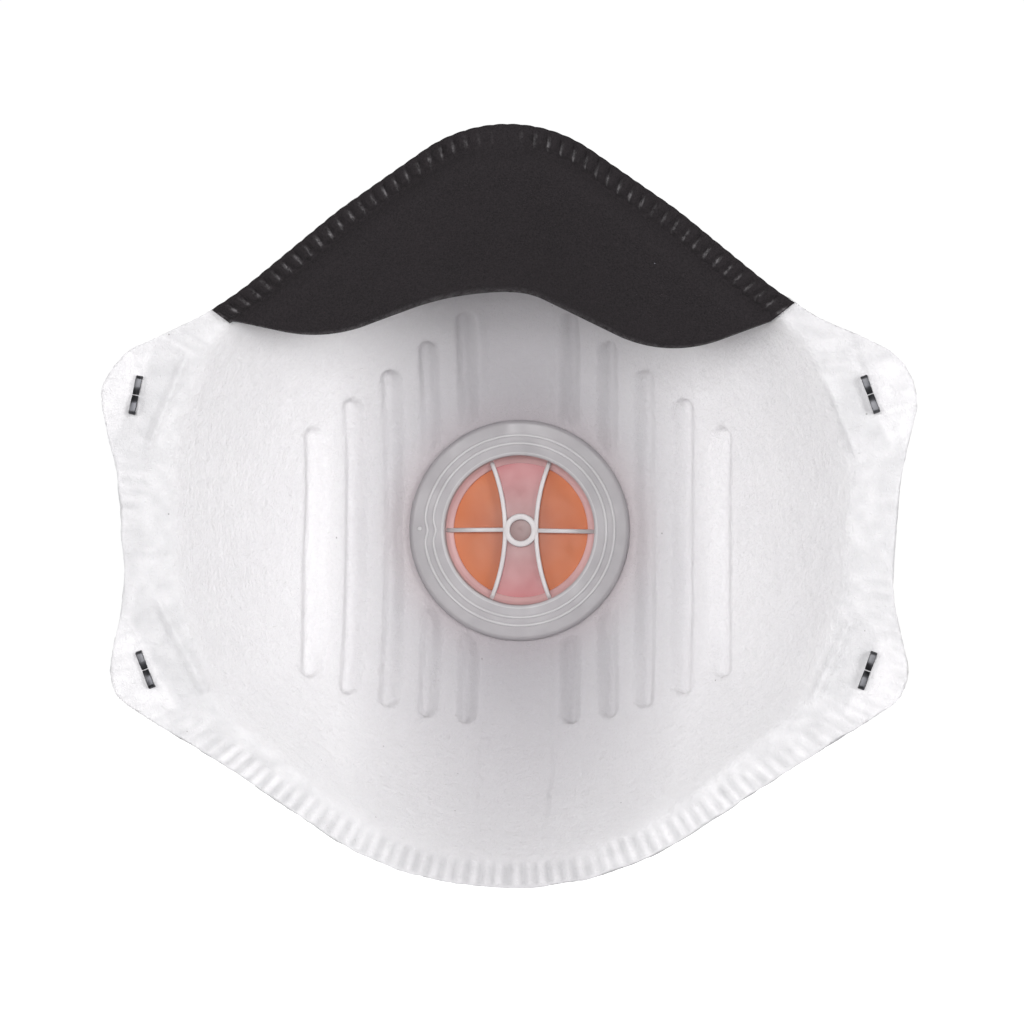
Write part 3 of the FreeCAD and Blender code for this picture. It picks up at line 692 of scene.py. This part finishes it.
# The seat is one milky plastic. Its slots are lighter and darker copies of it with light painted in:
# painted shade where it is thick, paler where it is thin, and the cover's light painted in pink on the
# lip and hub floor. Its flange, raised lines, spokes, lip and hub floor are slots 0 to 4.
SEAT_PARTS = [moulded(*part).material for part in (
    ("seat_plastic", (0.29, 0.275, 0.287, 1), (0.335, 0.315, 0.328, 1), 0.42),
    ("seat_pale", (0.42, 0.405, 0.415, 1), (0.47, 0.455, 0.465, 1), 0.4),
    ("seat_spoke", (0.53, 0.50, 0.505, 1), (0.59, 0.555, 0.56, 1), 0.4),
    ("seat_lip", (0.66, 0.40, 0.395, 1), (0.74, 0.46, 0.455, 1), 0.4, 0.85),
    ("seat_hub", (0.22, 0.13, 0.125, 1), (0.28, 0.175, 0.17, 1), 0.4))]
PALE_SLOT, SPOKE_SLOT, LIP_SLOT, HUB_SLOT = range(1, 5)
# Painted light: the seat's thin web is coloured pink by the cover's light coming through it, deeper away
# from the axis. It is also partly see-through.
SEAT_THIN = moulded("seat_thin", (0.44, 0.225, 0.225, 1), (0.50, 0.28, 0.28, 1), 0.4, alpha=0.8,
                    edge=(0.56, 0.175, 0.185, 1)).material


def cover_material():
    """Red-orange moulded plastic that lets some light through."""
    nodes = moulded("cover_plastic", (0.74, 0.125, 0.04, 1), (0.84, 0.18, 0.06, 1), 0.38)
    glow = nodes.add("ShaderNodeBsdfTranslucent", {"Color": (1.0, 0.28, 0.09, 1)})
    blend = nodes.add("ShaderNodeMixShader", {"Fac": 0.45})
    nodes.tree.links.new(nodes.shader.outputs[0], blend.inputs[1])
    nodes.tree.links.new(glow.outputs[0], blend.inputs[2])
    nodes.tree.links.new(blend.outputs[0], nodes.output.inputs["Surface"])
    return nodes.material


COVER = cover_material()


def dress(piece, material):
    piece.data.materials.clear()
    piece.data.materials.append(material)


# ---------- webs

def wall_shares(count):
    """Shares of the wall from the flat to the mouth, evenly spaced along the curved wall."""
    share = np.linspace(0, 1, 400)
    speed = np.hypot(40.0, 2 * CUP_DEPTH * share)
    length = np.concatenate([[0], np.cumsum((speed[1:] + speed[:-1]) / 2)])
    return np.interp(np.linspace(0, length[-1], count), length, share)


def web_radii(turn, flat_rows, wall_rows, flange_rows, trim):
    """One row of radii for each turn, from the valve hole to the rim."""
    edge = mouth(turn)[:, None]
    end = (rim(turn) - trim(turn))[:, None]
    flat = np.linspace(HOLE_RADIUS, FLAT_RADIUS, flat_rows, endpoint=False)[None, :]
    wall = FLAT_RADIUS + (edge - FLAT_RADIUS) * wall_shares(wall_rows + 1)[None, :-1]
    flange = edge + (end - edge) * np.linspace(0, 1, flange_rows)[None, :]
    return np.concatenate([np.repeat(flat, len(turn), 0), wall, flange], axis=1)


def make_web(node, name, low, high, fine_side, material, seed):
    """One layer of the cup. fine_side names the side that shows, "face" or "front", or neither."""
    rows = 600 if fine_side else 300
    flat_rows, wall_rows, flange_rows = (8, 96, 25) if fine_side else (6, 50, 17)
    edge_noise = Noise(seed)

    def trim(turn):
        length = rim_length(wrapped(turn))
        under_foam = 0.3 * (np.abs(wrapped(turn)) < math.radians(50))
        waves = 0.24 * along_line(edge_noise, length, 4.6)
        waves += 0.1 * along_line(edge_noise, length, 1.3, 9.0)
        return under_foam + 0.18 + waves

    turn = np.arange(rows) * 2 * math.pi / rows
    radius = web_radii(turn, flat_rows, wall_rows, flange_rows, trim)
    angle = np.repeat(turn[:, None], radius.shape[1], 1)
    point, normal = cup_frame(angle, radius)
    lift = relief(angle, radius)[..., None]
    near, far = (low, high) if fine_side != "front" else (high, low)
    shown = point + normal * (near + lift)
    hidden = (point + normal * (far + lift))[::2, ::2]
    piece = slab(name, shown, hidden, closed=True)
    inset = rim(angle) - radius
    fibres = 0.5 + 0.5 * noise(rim_length(wrapped(angle)), inset, 1.7)
    pressed = ramp(mouth(angle) - 1.0, mouth(angle) + 1.5, radius) * (0.24 + 0.4 * fibres)
    pressed -= 1.1 * weld_relief(wrapped(angle), radius)
    x, z = plan(angle, radius)
    pressed = np.clip(pressed + land_relief(x, z, radius, mouth(angle))[1], 0, 1)
    point_layer(piece, "pressed", np.concatenate([pressed.ravel(), pressed[::2, ::2].ravel()]))
    dress(piece, material)
    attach(piece, "root")
    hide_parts(node)
    return piece


def make_webs():
    layers = (("inner_lining", "lining", "face", LINING, "lining_web", 3),
              ("support_shell", "shell_felt", "", SHELL, "shell_web", 5),
              ("filter_web", "filter_layer", "", FILTER, "filter_media", 8),
              ("outer_cover_web", "outer_web", "front", OUTER, "outer_web", 13))
    start = 0.0
    for (node, name, side, material, slot, seed), thick in zip(layers, WEB_THICKS):
        make_web(node, name, start, start + thick, side, material, seed)
        start += thick + WEB_GAP


# ---------- nose foam

# Where the crescent ends, as turns from the nose, left and right, and how far apart its welds are.
FOAM_ENDS = (math.radians(53.2), math.radians(51.5))
FOAM_PITCH = 2.5


def foam_back(turn, radius):
    """Depth of the foam's back, which follows the cup's wall in from the mouth."""
    inside = np.maximum(0.0, mouth(turn) - radius) / 24.5
    return 10.5 * inside**1.2 - 0.15


def make_foam():
    """Foam crescent: crushed thin by slanted weld bars along the rim, soft and rounded inside."""
    rows, columns = 421, 61
    share = np.linspace(-1, 1, rows)
    last_turn = np.where(share < 0, FOAM_ENDS[0], FOAM_ENDS[1])
    turn = np.sign(share) * last_turn * np.abs(share)**0.97
    scallop = np.abs(np.sin(math.pi * rim_length(turn) / FOAM_PITCH))
    outer = rim(turn) - 0.16 + 0.1 * scallop
    inner = np.minimum(foam_edge(turn), outer - 4.0)
    step = np.linspace(0, 1, columns)
    radius = outer[:, None] + (inner - outer)[:, None] * step[None, :]
    angle = np.repeat(turn[:, None], columns, 1)
    inset = outer[:, None] - radius
    slant = 0.1 * inset * np.sign(angle)
    length = rim_length(angle) + slant
    phase = (length + 0.35 * along_line(noise, length, 16.0, 5.0)) / FOAM_PITCH
    lobe = np.abs(np.sin(math.pi * phase))
    weld = 3.6 + 0.5 * ramp(-10, 20, length)
    crushed = 1 - ramp(weld - 0.5, weld + 0.3, inset + 1.1 * (1 - lobe))
    quiet = 1 - 0.9 * (1 - ramp(3.0, 7.0, np.abs(length + 1.5)))
    thick = 0.9 + 2.1 * ramp(weld - 0.2, weld + 4.5, inset)
    thick *= 1 + 0.02 * noise(length, inset, 7.0)
    swell = np.sqrt(np.clip(lobe, 0, 1)) - 0.6
    uneven = 1 + 0.3 * along_line(noise_b, length, 4.0, 2.0)
    taper = ramp(-0.3, 1.6, inset)
    thick += crushed * quiet * 1.5 * swell * uneven * taper
    groove = np.exp(-((inset - weld - 0.2) / 0.5)**2)
    thick -= 0.45 * groove * quiet
    thick = np.maximum(thick, 0.25)
    # Painted highlight: a thin lighter line on one flank of each weld lobe.
    toward = (phase * np.sign(angle)) % 1.0
    ridge = np.exp(-((toward - 0.17) / 0.085)**2) * ramp(weld - 3.2, weld - 1.2, inset)
    ridge *= crushed * quiet
    ridge *= 0.45 + 0.55 * ramp(-0.4, 0.5, noise(length, inset * 2, 1.3))
    end = np.minimum(1.0, (last_turn[:, None] - np.abs(angle)) * radius / 2.2)
    thick *= np.sqrt(np.clip(0.12 + end, 0, 1))
    free = np.clip((radius - inner[:, None]) / 1.3, 0, 1)
    round_off = np.sqrt(np.clip(1 - (1 - free)**2, 0, 1))
    back = foam_back(angle, radius)
    middle = back - thick / 2
    half = thick / 2 * (0.72 + 0.28 * round_off)
    wave = 0.18 * noise(radius * np.sin(angle), radius * np.cos(angle), 15.0) * (1 - crushed)
    x, z = plan(angle, radius)
    front_points = np.stack([x, middle - half + wave, z], axis=-1)
    back_points = np.stack([x, np.minimum(middle + half, back), z], axis=-1)[::2, ::2]
    piece = slab("nose_foam_pad", front_points, back_points, closed=False)
    # Painted highlight along the cut inner edge. Both go to the foam's colour as the crushed layer.
    cut_edge = 0.22 * (1 - ramp(0.15, 0.7, radius - inner[:, None]))
    painted_highlight = np.concatenate([(ridge + cut_edge).ravel(), np.zeros(back_points[..., 0].size)])
    point_layer(piece, "crushed", painted_highlight)
    dress(piece, FOAM)
    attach(piece, "root")
    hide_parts("nose_foam")


# ---------- turned and swept plastic

def to_cup(local):
    """From valve coordinates (across, up, along the axis from the cup's flat) to the frame, mm."""
    local = np.asarray(local, dtype=float)
    return np.stack([local[..., 0], CUP_DEPTH + local[..., 2], local[..., 1] - VALVE_DROP], axis=-1)


def rounded(profile, size, steps=3):
    """A closed profile with its corners cut by small arcs."""
    result = []
    count = len(profile)
    for i in range(count):
        corner = np.array(profile[i], dtype=float)
        before = np.array(profile[i - 1], dtype=float) - corner
        after = np.array(profile[(i + 1) % count], dtype=float) - corner
        cut = min(size, 0.45 * np.linalg.norm(before), 0.45 * np.linalg.norm(after))
        a = corner + before / np.linalg.norm(before) * cut
        b = corner + after / np.linalg.norm(after) * cut
        for k in range(steps + 1):
            t = k / steps
            result.append(tuple((1 - t)**2 * a + 2 * t * (1 - t) * corner + t**2 * b))
    return result


def oblong(width, low, high, size):
    """A rectangular section with rounded corners."""
    half = width / 2
    return rounded([(-half, low), (half, low), (half, high), (-half, high)], size)


def upright(outer, inner, low, high, size):
    """A rectangular profile with rounded corners, for a turned ring."""
    return rounded([(outer, low), (outer, high), (inner, high), (inner, low)], size)


def turned(name, profile, segments=192, squeeze=None):
    """A ring turned from a closed profile of (radius, height) pairs about the valve's axis. squeeze
    may give each angle a change of radius."""
    rings = []
    for i in range(segments):
        angle = 2 * math.pi * i / segments
        shift = squeeze(angle) if squeeze else 0.0
        rings.append([((radius + shift) * math.cos(angle), (radius + shift) * math.sin(angle), height)
                      for radius, height in profile])
    return swept(name, to_cup(rings), closed=True)


def bar(name, line, width, low, high, size):
    """A straight or bowed bar of rectangular section along points (across, up)."""
    line = np.array(line, dtype=float)
    section = oblong(width, low, high, size)
    rings = [[(place[0] + way[0] * across, place[1] + way[1] * across, height)
              for across, height in section] for place, way in zip(line, sideways(line))]
    return swept(name, to_cup(rings))


def joined(name, pieces):
    """One object from several."""
    work = bmesh.new()
    for piece in pieces:
        work.from_mesh(piece.data)
    mesh = bpy.data.meshes.new(name)
    work.to_mesh(mesh)
    work.free()
    for piece in pieces:
        old = piece.data
        bpy.data.objects.remove(piece)
        bpy.data.meshes.remove(old)
    return in_scene(name, mesh)


# Valve seat. Heights are along the axis from the cup's flat: FACE is the flange's shown side, and
# SEAT_RISE the lip that the diaphragm rests on.
FACE = -1.3
SEAT_RISE = 5.2
SPIDER_LOW = SEAT_RISE - 1.6
TUBE_BORE = 13.9
TUBE_RADIUS = 14.7
LIP_BORE = 12.5
HUB_RADIUS = 3.1
SPOKE_WIDTH = 0.8
LINE_RADII = (17.9, 16.4)
LINE_WIDTH = 0.5
# The bowed spokes: radius of the bow, and how near it comes to the axis.
ARC_RADIUS = 33.0
ARC_WAIST = 2.9


def bow(sign, reach, offset=0.0):
    """Points along one bowed spoke, bottom to top."""
    centre = sign * (ARC_WAIST + ARC_RADIUS)
    limit = math.asin(reach / ARC_RADIUS)
    angles = np.linspace(-limit, limit, 33)
    return [(centre - sign * (ARC_RADIUS + offset) * math.cos(a), (ARC_RADIUS + offset) * math.sin(a))
            for a in angles]


def make_seat():
    """Valve seat: bevelled flange, tube and lip in one, raised lines with a small dent on the left,
    and the spider of hub, straight spokes and bowed spokes."""
    ring = rounded([(20.2, -1.15), (20.5, -0.75), (20.5, -0.1), (TUBE_RADIUS, -0.1),
                    (TUBE_RADIUS, SEAT_RISE), (LIP_BORE, SEAT_RISE), (LIP_BORE, SEAT_RISE - 0.55),
                    (13.35, SEAT_RISE - 1.0), (TUBE_BORE, SPIDER_LOW), (TUBE_BORE, -0.95),
                    (14.3, FACE), (19.8, FACE)], 0.22)

    def dent(angle):
        return -0.62 * math.exp(-((angle - math.pi) / 0.087)**2)

    body = turned("seat_ring", ring)
    lip_depth = CUP_DEPTH + SEAT_RISE - 2.2
    for face in body.data.polygons:
        away = math.hypot(face.center.x, face.center.z + VALVE_DROP * MM) / MM
        if face.center.y > lip_depth * MM and away < TUBE_BORE + 0.1:
            face.material_index = LIP_SLOT
        elif face.center.y < CUP_DEPTH * MM and away < 15.9:
            face.material_index = PALE_SLOT

    parts = []
    for radius in LINE_RADII:
        line = upright(radius, radius - LINE_WIDTH, FACE + 0.1, FACE - 0.24, 0.2)
        parts.append((turned("seat_line", line, 360, dent), PALE_SLOT))
    nub = rounded([(0.0, FACE - 0.2), (0.38, FACE - 0.18), (0.42, FACE + 0.1), (0.0, FACE + 0.1)], 0.05)
    nub_piece = turned("seat_nub", nub, 24)
    nub_piece.data.transform(Matrix.Translation((-18.5 * MM, 0, 0.3 * MM)))
    parts.append((nub_piece, PALE_SLOT))
    # The hub, bows and spokes differ a little in height, so that no two faces lie in one plane.
    hub = upright(HUB_RADIUS, 2.0, SPIDER_LOW - 0.05, SEAT_RISE, 0.2)
    parts.append((turned("seat_hub", hub, 96), SPOKE_SLOT))
    hub_floor = rounded([(0.0, SEAT_RISE - 0.7), (2.1, SEAT_RISE - 0.7), (2.1, SEAT_RISE),
                         (0.0, SEAT_RISE)], 0.05)
    parts.append((turned("seat_hub_floor", hub_floor, 64), HUB_SLOT))
    for line in ([(-13.88, 0.0), (-8.0, 0.05), (-2.6, 0.1)],
                 [(2.6, -0.05), (8.0, -0.15), (13.88, -0.26)]):
        spoke = bar("spoke", line, SPOKE_WIDTH, SPIDER_LOW + 0.05, SEAT_RISE - 0.03, 0.18)
        parts.append((spoke, SPOKE_SLOT))
    for sign in (-1, 1):
        spoke = bar("bow", bow(sign, 12.77), SPOKE_WIDTH, SPIDER_LOW, SEAT_RISE - 0.06, 0.18)
        parts.append((spoke, SPOKE_SLOT))
    for part, index in parts:
        part.data.polygons.foreach_set("material_index", [index] * len(part.data.polygons))
    seat = joined("seat_body", [body] + [part for part, _ in parts])
    for material in SEAT_PARTS:
        seat.data.materials.append(material)
    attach(seat, "root")
    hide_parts("valve_seat")


def make_seat_plate():
    """The thin translucent web of the seat between its bowed spokes."""
    reach = 12.4
    top = [(13.6 * math.sin(a), 13.6 * math.cos(a)) for a in np.linspace(-0.38, 0.38, 13)]
    outline = bow(-1, reach, 0.1) + top + bow(1, reach, 0.1)[::-1] + [(x, -y) for x, y in top[::-1]]
    count = len(outline)
    points = [(x, y, h) for h in (SEAT_RISE - 0.45, SEAT_RISE - 0.02) for x, y in outline]
    faces = [tuple(range(count)), tuple(range(2 * count - 1, count - 1, -1))]
    faces += [(i, (i + 1) % count, count + (i + 1) % count, count + i) for i in range(count)]
    plate = facing_out(mesh_object("seat_web_plate", to_cup(points), faces, smooth=False))
    dress(plate, SEAT_THIN)
    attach(plate, "root")


def make_diaphragm():
    """One thin soft disc, made as two halves that meet behind the hub. Each half is held along the
    middle, and its edge is soft."""
    low = strip_low[1] - CUP_DEPTH
    thick = strip_high[1] - strip_low[1]
    reach = strip_high[2] + VALVE_DROP
    plans = (("diaphragm_left", -1, "flap_left", ("diaphragm_flap_left", "diaphragm_strip")),
             ("diaphragm_right", 1, "flap_right", ("diaphragm_flap_right",)))
    rows, columns = 81, 61
    for name, side, body, nodes in plans:
        x = side * reach * np.sin(np.linspace(0.0008, math.pi / 2 - 0.02, rows))
        half = np.sqrt(reach**2 - x**2)
        y = half[:, None] * np.linspace(-1, 1, columns)[None, :]
        across = np.repeat(x[:, None], columns, 1)
        edge = np.clip((reach - np.hypot(across, y)) / 0.35, 0, 1)
        body_thick = thick * (0.5 + 0.5 * np.sqrt(edge))
        base = low + (thick - body_thick) / 2
        lower = np.stack([across, y, base], axis=-1)
        upper = np.stack([across, y, base + body_thick], axis=-1)[::2, ::2]
        piece = slab(name, to_cup(lower), to_cup(upper), closed=False)
        dress(piece, DIAPHRAGM)
        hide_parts(*nodes)
        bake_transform(piece)


# ---------- straps

def outer_depth(x, z):
    """Depth of the outer web's surface straight ahead of a point of the rim plane."""
    def depth(a, b):
        b = b + VALVE_DROP
        return cup_depth_at(np.arctan2(a, b), np.hypot(a, b))
    step = 0.05
    slope_x = (depth(x + step, z) - depth(x - step, z)) / (2 * step)
    slope_z = (depth(x, z + step) - depth(x, z - step)) / (2 * step)
    lift = STACK + np.maximum(relief(np.arctan2(x, z + VALVE_DROP), np.hypot(x, z + VALVE_DROP)), 0)
    return depth(x, z) + lift * np.sqrt(1 + slope_x**2 + slope_z**2)


def box_average(values, reach):
    """Each value replaced by the mean of its neighbours up to reach away."""
    width = 2 * reach + 1
    return np.convolve(np.pad(values, reach, mode="edge"), np.ones(width) / width, mode="valid")


def strap_section(half_width, thick):
    """Rounded band with seven lengthwise cords that swell its two faces."""
    cords = 7
    section = []
    for side in (1, -1):
        for share in side * np.linspace(-1, 1, 43):
            bulge = 0.5 + 0.5 * math.cos(share * cords * math.pi)
            edge = math.sqrt(max(0.0, 1 - abs(share)**8))
            section.append((share * half_width, side * thick / 2 * edge * (0.84 + 0.16 * bulge)))
    return section


def make_strap(level, across, up, tilt):
    """One elastic band from staple to staple over the front of the cup. Each cross-section leans
    with the cup's surface under it, and the ends lie flat on the flange under the staples."""
    half_width = 3.2
    thick = 0.85
    ends_low, ends_high = box_mm(f"{level}_strap_ends")
    pivot_y = (ends_low[1] + ends_high[1]) / 2
    tilt = math.radians(tilt)
    way = np.array([math.cos(tilt), math.sin(tilt)])
    stations = 241
    x = (across + 2.2) * np.sin(np.linspace(-math.pi / 2, math.pi / 2, stations))
    clear = 0.35 + thick / 2
    # Halving finds how far out the band has to lie at each station to clear the outer web.
    low = np.zeros(stations)
    high = np.full(stations, CUP_DEPTH + 15)
    for _ in range(24):
        middle = (low + high) / 2
        gap = np.full(stations, 99.0)
        for share in (-1, -0.5, 0, 0.5, 1):
            z = up + middle * way[1] + share * half_width * 0.9
            slope = (outer_depth(x, z + 0.3) - outer_depth(x, z - 0.3)) / 0.6
            gap = np.minimum(gap, pivot_y + middle * way[0] - outer_depth(x, z)
                             + share * half_width * 0.9 * slope * 0.75)
        low = np.where(gap < clear, middle, low)
        high = np.where(gap < clear, high, middle)
    reach = box_average(np.maximum(high, box_average(high, 6)), 3)
    reach[np.abs(x) > across - 4.4] = 0.0
    reach = box_average(reach, 4)
    centre = np.stack([x, pivot_y + reach * way[0], up + reach * way[1]], axis=1)

    z = centre[:, 2]
    slope = (outer_depth(x, z + half_width) - outer_depth(x, z - half_width)) / (2 * half_width)
    slope *= 0.75 * ramp(1.0, 9.0, reach)
    width_way = np.stack([np.zeros(stations), slope, np.ones(stations)], axis=1)
    ahead = unit(np.gradient(centre, axis=0))
    width_way = unit(width_way - (width_way * ahead).sum(1, keepdims=True) * ahead)
    away = np.cross(ahead, width_way)
    away *= np.sign(away[:, 1:2] + 1e-9)

    section = np.array(strap_section(half_width, thick))
    count = len(section)
    rings = centre[:, None] + width_way[:, None] * section[:, :1] + away[:, None] * section[:, 1:]
    piece = swept(f"{level}_elastic", rings)
    # The knit follows the band: its own length one way and its width the other, in mm.
    travelled = np.concatenate([[0], np.cumsum(np.linalg.norm(np.diff(centre, axis=0), axis=1))])
    layer = piece.data.uv_layers.new(name="band")
    corner_vertex = np.empty(len(piece.data.loops), dtype=np.int64)
    piece.data.loops.foreach_get("vertex_index", corner_vertex)
    place = section[corner_vertex % count, 0]
    layer.data.foreach_set("uv", np.stack([travelled[corner_vertex // count], place], axis=1).ravel())
    dress(piece, ELASTIC)
    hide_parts(f"{level}_strap", f"{level}_strap_ends")
    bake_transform(piece)


# ---------- staples

def make_staple(name, x, z, lean):
    """Flat-wire staple: rounded bends at the crown, legs through the webs and folded back on the
    face side until their cut tips nearly meet."""
    low, high = box_mm(name)
    wire = 0.5
    wide = 1.2
    half = (STAPLE_LENGTH - wire) / 2
    radius = 0.45
    crown = high[1] - wire / 2
    fold = low[1] + wire / 2

    def corner(cx, cy, a0, a1):
        return [(cx + radius * math.cos(a), cy + radius * math.sin(a))
                for a in np.linspace(math.radians(a0), math.radians(a1), 7)]

    line = [(0.1, fold + 0.1), (half * 0.5, fold + 0.04)]
    line += corner(half - radius, fold + radius, -90, 0)
    line += corner(half - radius, crown - radius, 0, 90)
    line += corner(-half + radius, crown - radius, 90, 180)
    line += corner(-half + radius, fold + radius, 180, 270)
    line += [(-half * 0.5, fold + 0.04), (-0.1, fold + 0.1)]
    line = np.array(line)
    section = np.array(oblong(wide, -wire / 2, wire / 2, 0.14))
    turn = math.radians(lean)
    rings = []
    for i, (place, way) in enumerate(zip(line, sideways(line))):
        across = section[:, 0] * (0.93 if i in (0, len(line) - 1) else 1.0)
        up = place[0] + way[0] * section[:, 1]
        out = place[1] + way[1] * section[:, 1]
        rings.append(np.stack([x + across * math.cos(turn) + up * math.sin(turn), out,
                               z - across * math.sin(turn) + up * math.cos(turn)], axis=1))
    piece = swept(f"{name}_wire", rings)
    dress(piece, STAPLE_METAL)
    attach(piece, "root")
    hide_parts(name)


# ---------- camera, light and floor

# In metres: how far away the camera is, how wide its picture is there, and what it looks at. It
# stands a little to the right of the middle.
CAMERA_DISTANCE = 0.9
VIEW_WIDTH = 0.1807
CAMERA_TURN = math.radians(2.7)
AIM = Vector((0.0008, 0.0, -0.001))


def make_camera():
    data = bpy.data.cameras.new("camera")
    data.sensor_width = 36.0
    data.lens = 36.0 * CAMERA_DISTANCE / VIEW_WIDTH
    data.clip_start = 0.05
    camera = in_scene("camera", data)
    way = Vector((math.sin(CAMERA_TURN), -math.cos(CAMERA_TURN), 0.0))
    camera.location = AIM + way * CAMERA_DISTANCE
    camera.rotation_euler = (-way).to_track_quat("-Z", "Y").to_euler()
    bpy.context.scene.camera = camera


def area_light(name, place, size, power):
    """A square soft light aimed at the middle of the mask."""
    data = bpy.data.lights.new(name, "AREA")
    data.shape = "SQUARE"
    data.size = size
    data.energy = power
    light = in_scene(name, data)
    light.location = place
    light.rotation_euler = (-Vector(place)).to_track_quat("-Z", "Y").to_euler()


# The floor is this far under the mask's lowest point, so the lower strap swings clear of it.
STRAP_FALL = 0.02
FLOOR_HALF = 1.6


def make_studio():
    scene = bpy.context.scene
    scene.view_settings.view_transform = "Standard"
    scene.view_settings.look = "None"
    world = bpy.data.worlds.new("studio")
    world.use_nodes = True
    tree = world.node_tree
    backdrop = tree.nodes["Background"]
    backdrop.inputs["Color"].default_value = (1.0, 1.0, 1.0, 1)
    backdrop.inputs["Strength"].default_value = 1.02
    surround = tree.nodes.new("ShaderNodeBackground")
    surround.inputs["Color"].default_value = (0.985, 0.985, 1.0, 1)
    surround.inputs["Strength"].default_value = 0.25
    path = tree.nodes.new("ShaderNodeLightPath")
    blend = tree.nodes.new("ShaderNodeMixShader")
    tree.links.new(path.outputs["Is Camera Ray"], blend.inputs["Fac"])
    tree.links.new(surround.outputs[0], blend.inputs[1])
    tree.links.new(backdrop.outputs[0], blend.inputs[2])
    tree.links.new(blend.outputs[0], tree.nodes["World Output"].inputs["Surface"])
    scene.world = world
    area_light("front_box", (-0.05, -1.25, 0.12), 0.45, 9.4)
    area_light("left_box", (-0.82, -0.72, 0.1), 0.4, 2.7)
    area_light("right_box", (0.82, -0.72, 0.1), 0.4, 4.6)
    area_light("back_box", (0.25, 0.9, 0.45), 0.6, 9.0)
    bottom = (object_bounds()[0][2] - STRAP_FALL) / MM
    size = FLOOR_HALF / MM
    floor = mesh_object("floor", [(-size, -size, bottom), (size, -size, bottom), (size, size, bottom),
                                  (-size, size, bottom)], [(0, 1, 2, 3)])
    nodes = Nodes("floor_white")
    seen = nodes.add("ShaderNodeLightPath").outputs["Is Camera Ray"]
    nodes.set(Base_Color=(0.35, 0.35, 0.35, 1), Roughness=0.8, Specular_IOR_Level=0.1,
              Emission_Color=(1, 1, 1, 1), Emission_Strength=seen)
    dress(floor, nodes.material)


# ---------- build

make_camera()
make_webs()
make_foam()
make_seat()
make_seat_plate()
make_diaphragm()
make_strap("upper", 64.9, 19.7, 12.0)
make_strap("lower", 63.8, -28.9, -9.0)
for staple_name, (staple_x, staple_z, staple_lean) in STAPLES.items():
    make_staple(staple_name, staple_x, staple_z, staple_lean)


def cad_material(node, material):
    piece = bpy.data.objects[node]
    for slot in piece.material_slots:
        slot.material = material


cad_material("valve_cover", COVER)
cad_material("nose_clip", CLIP_METAL)
make_studio()
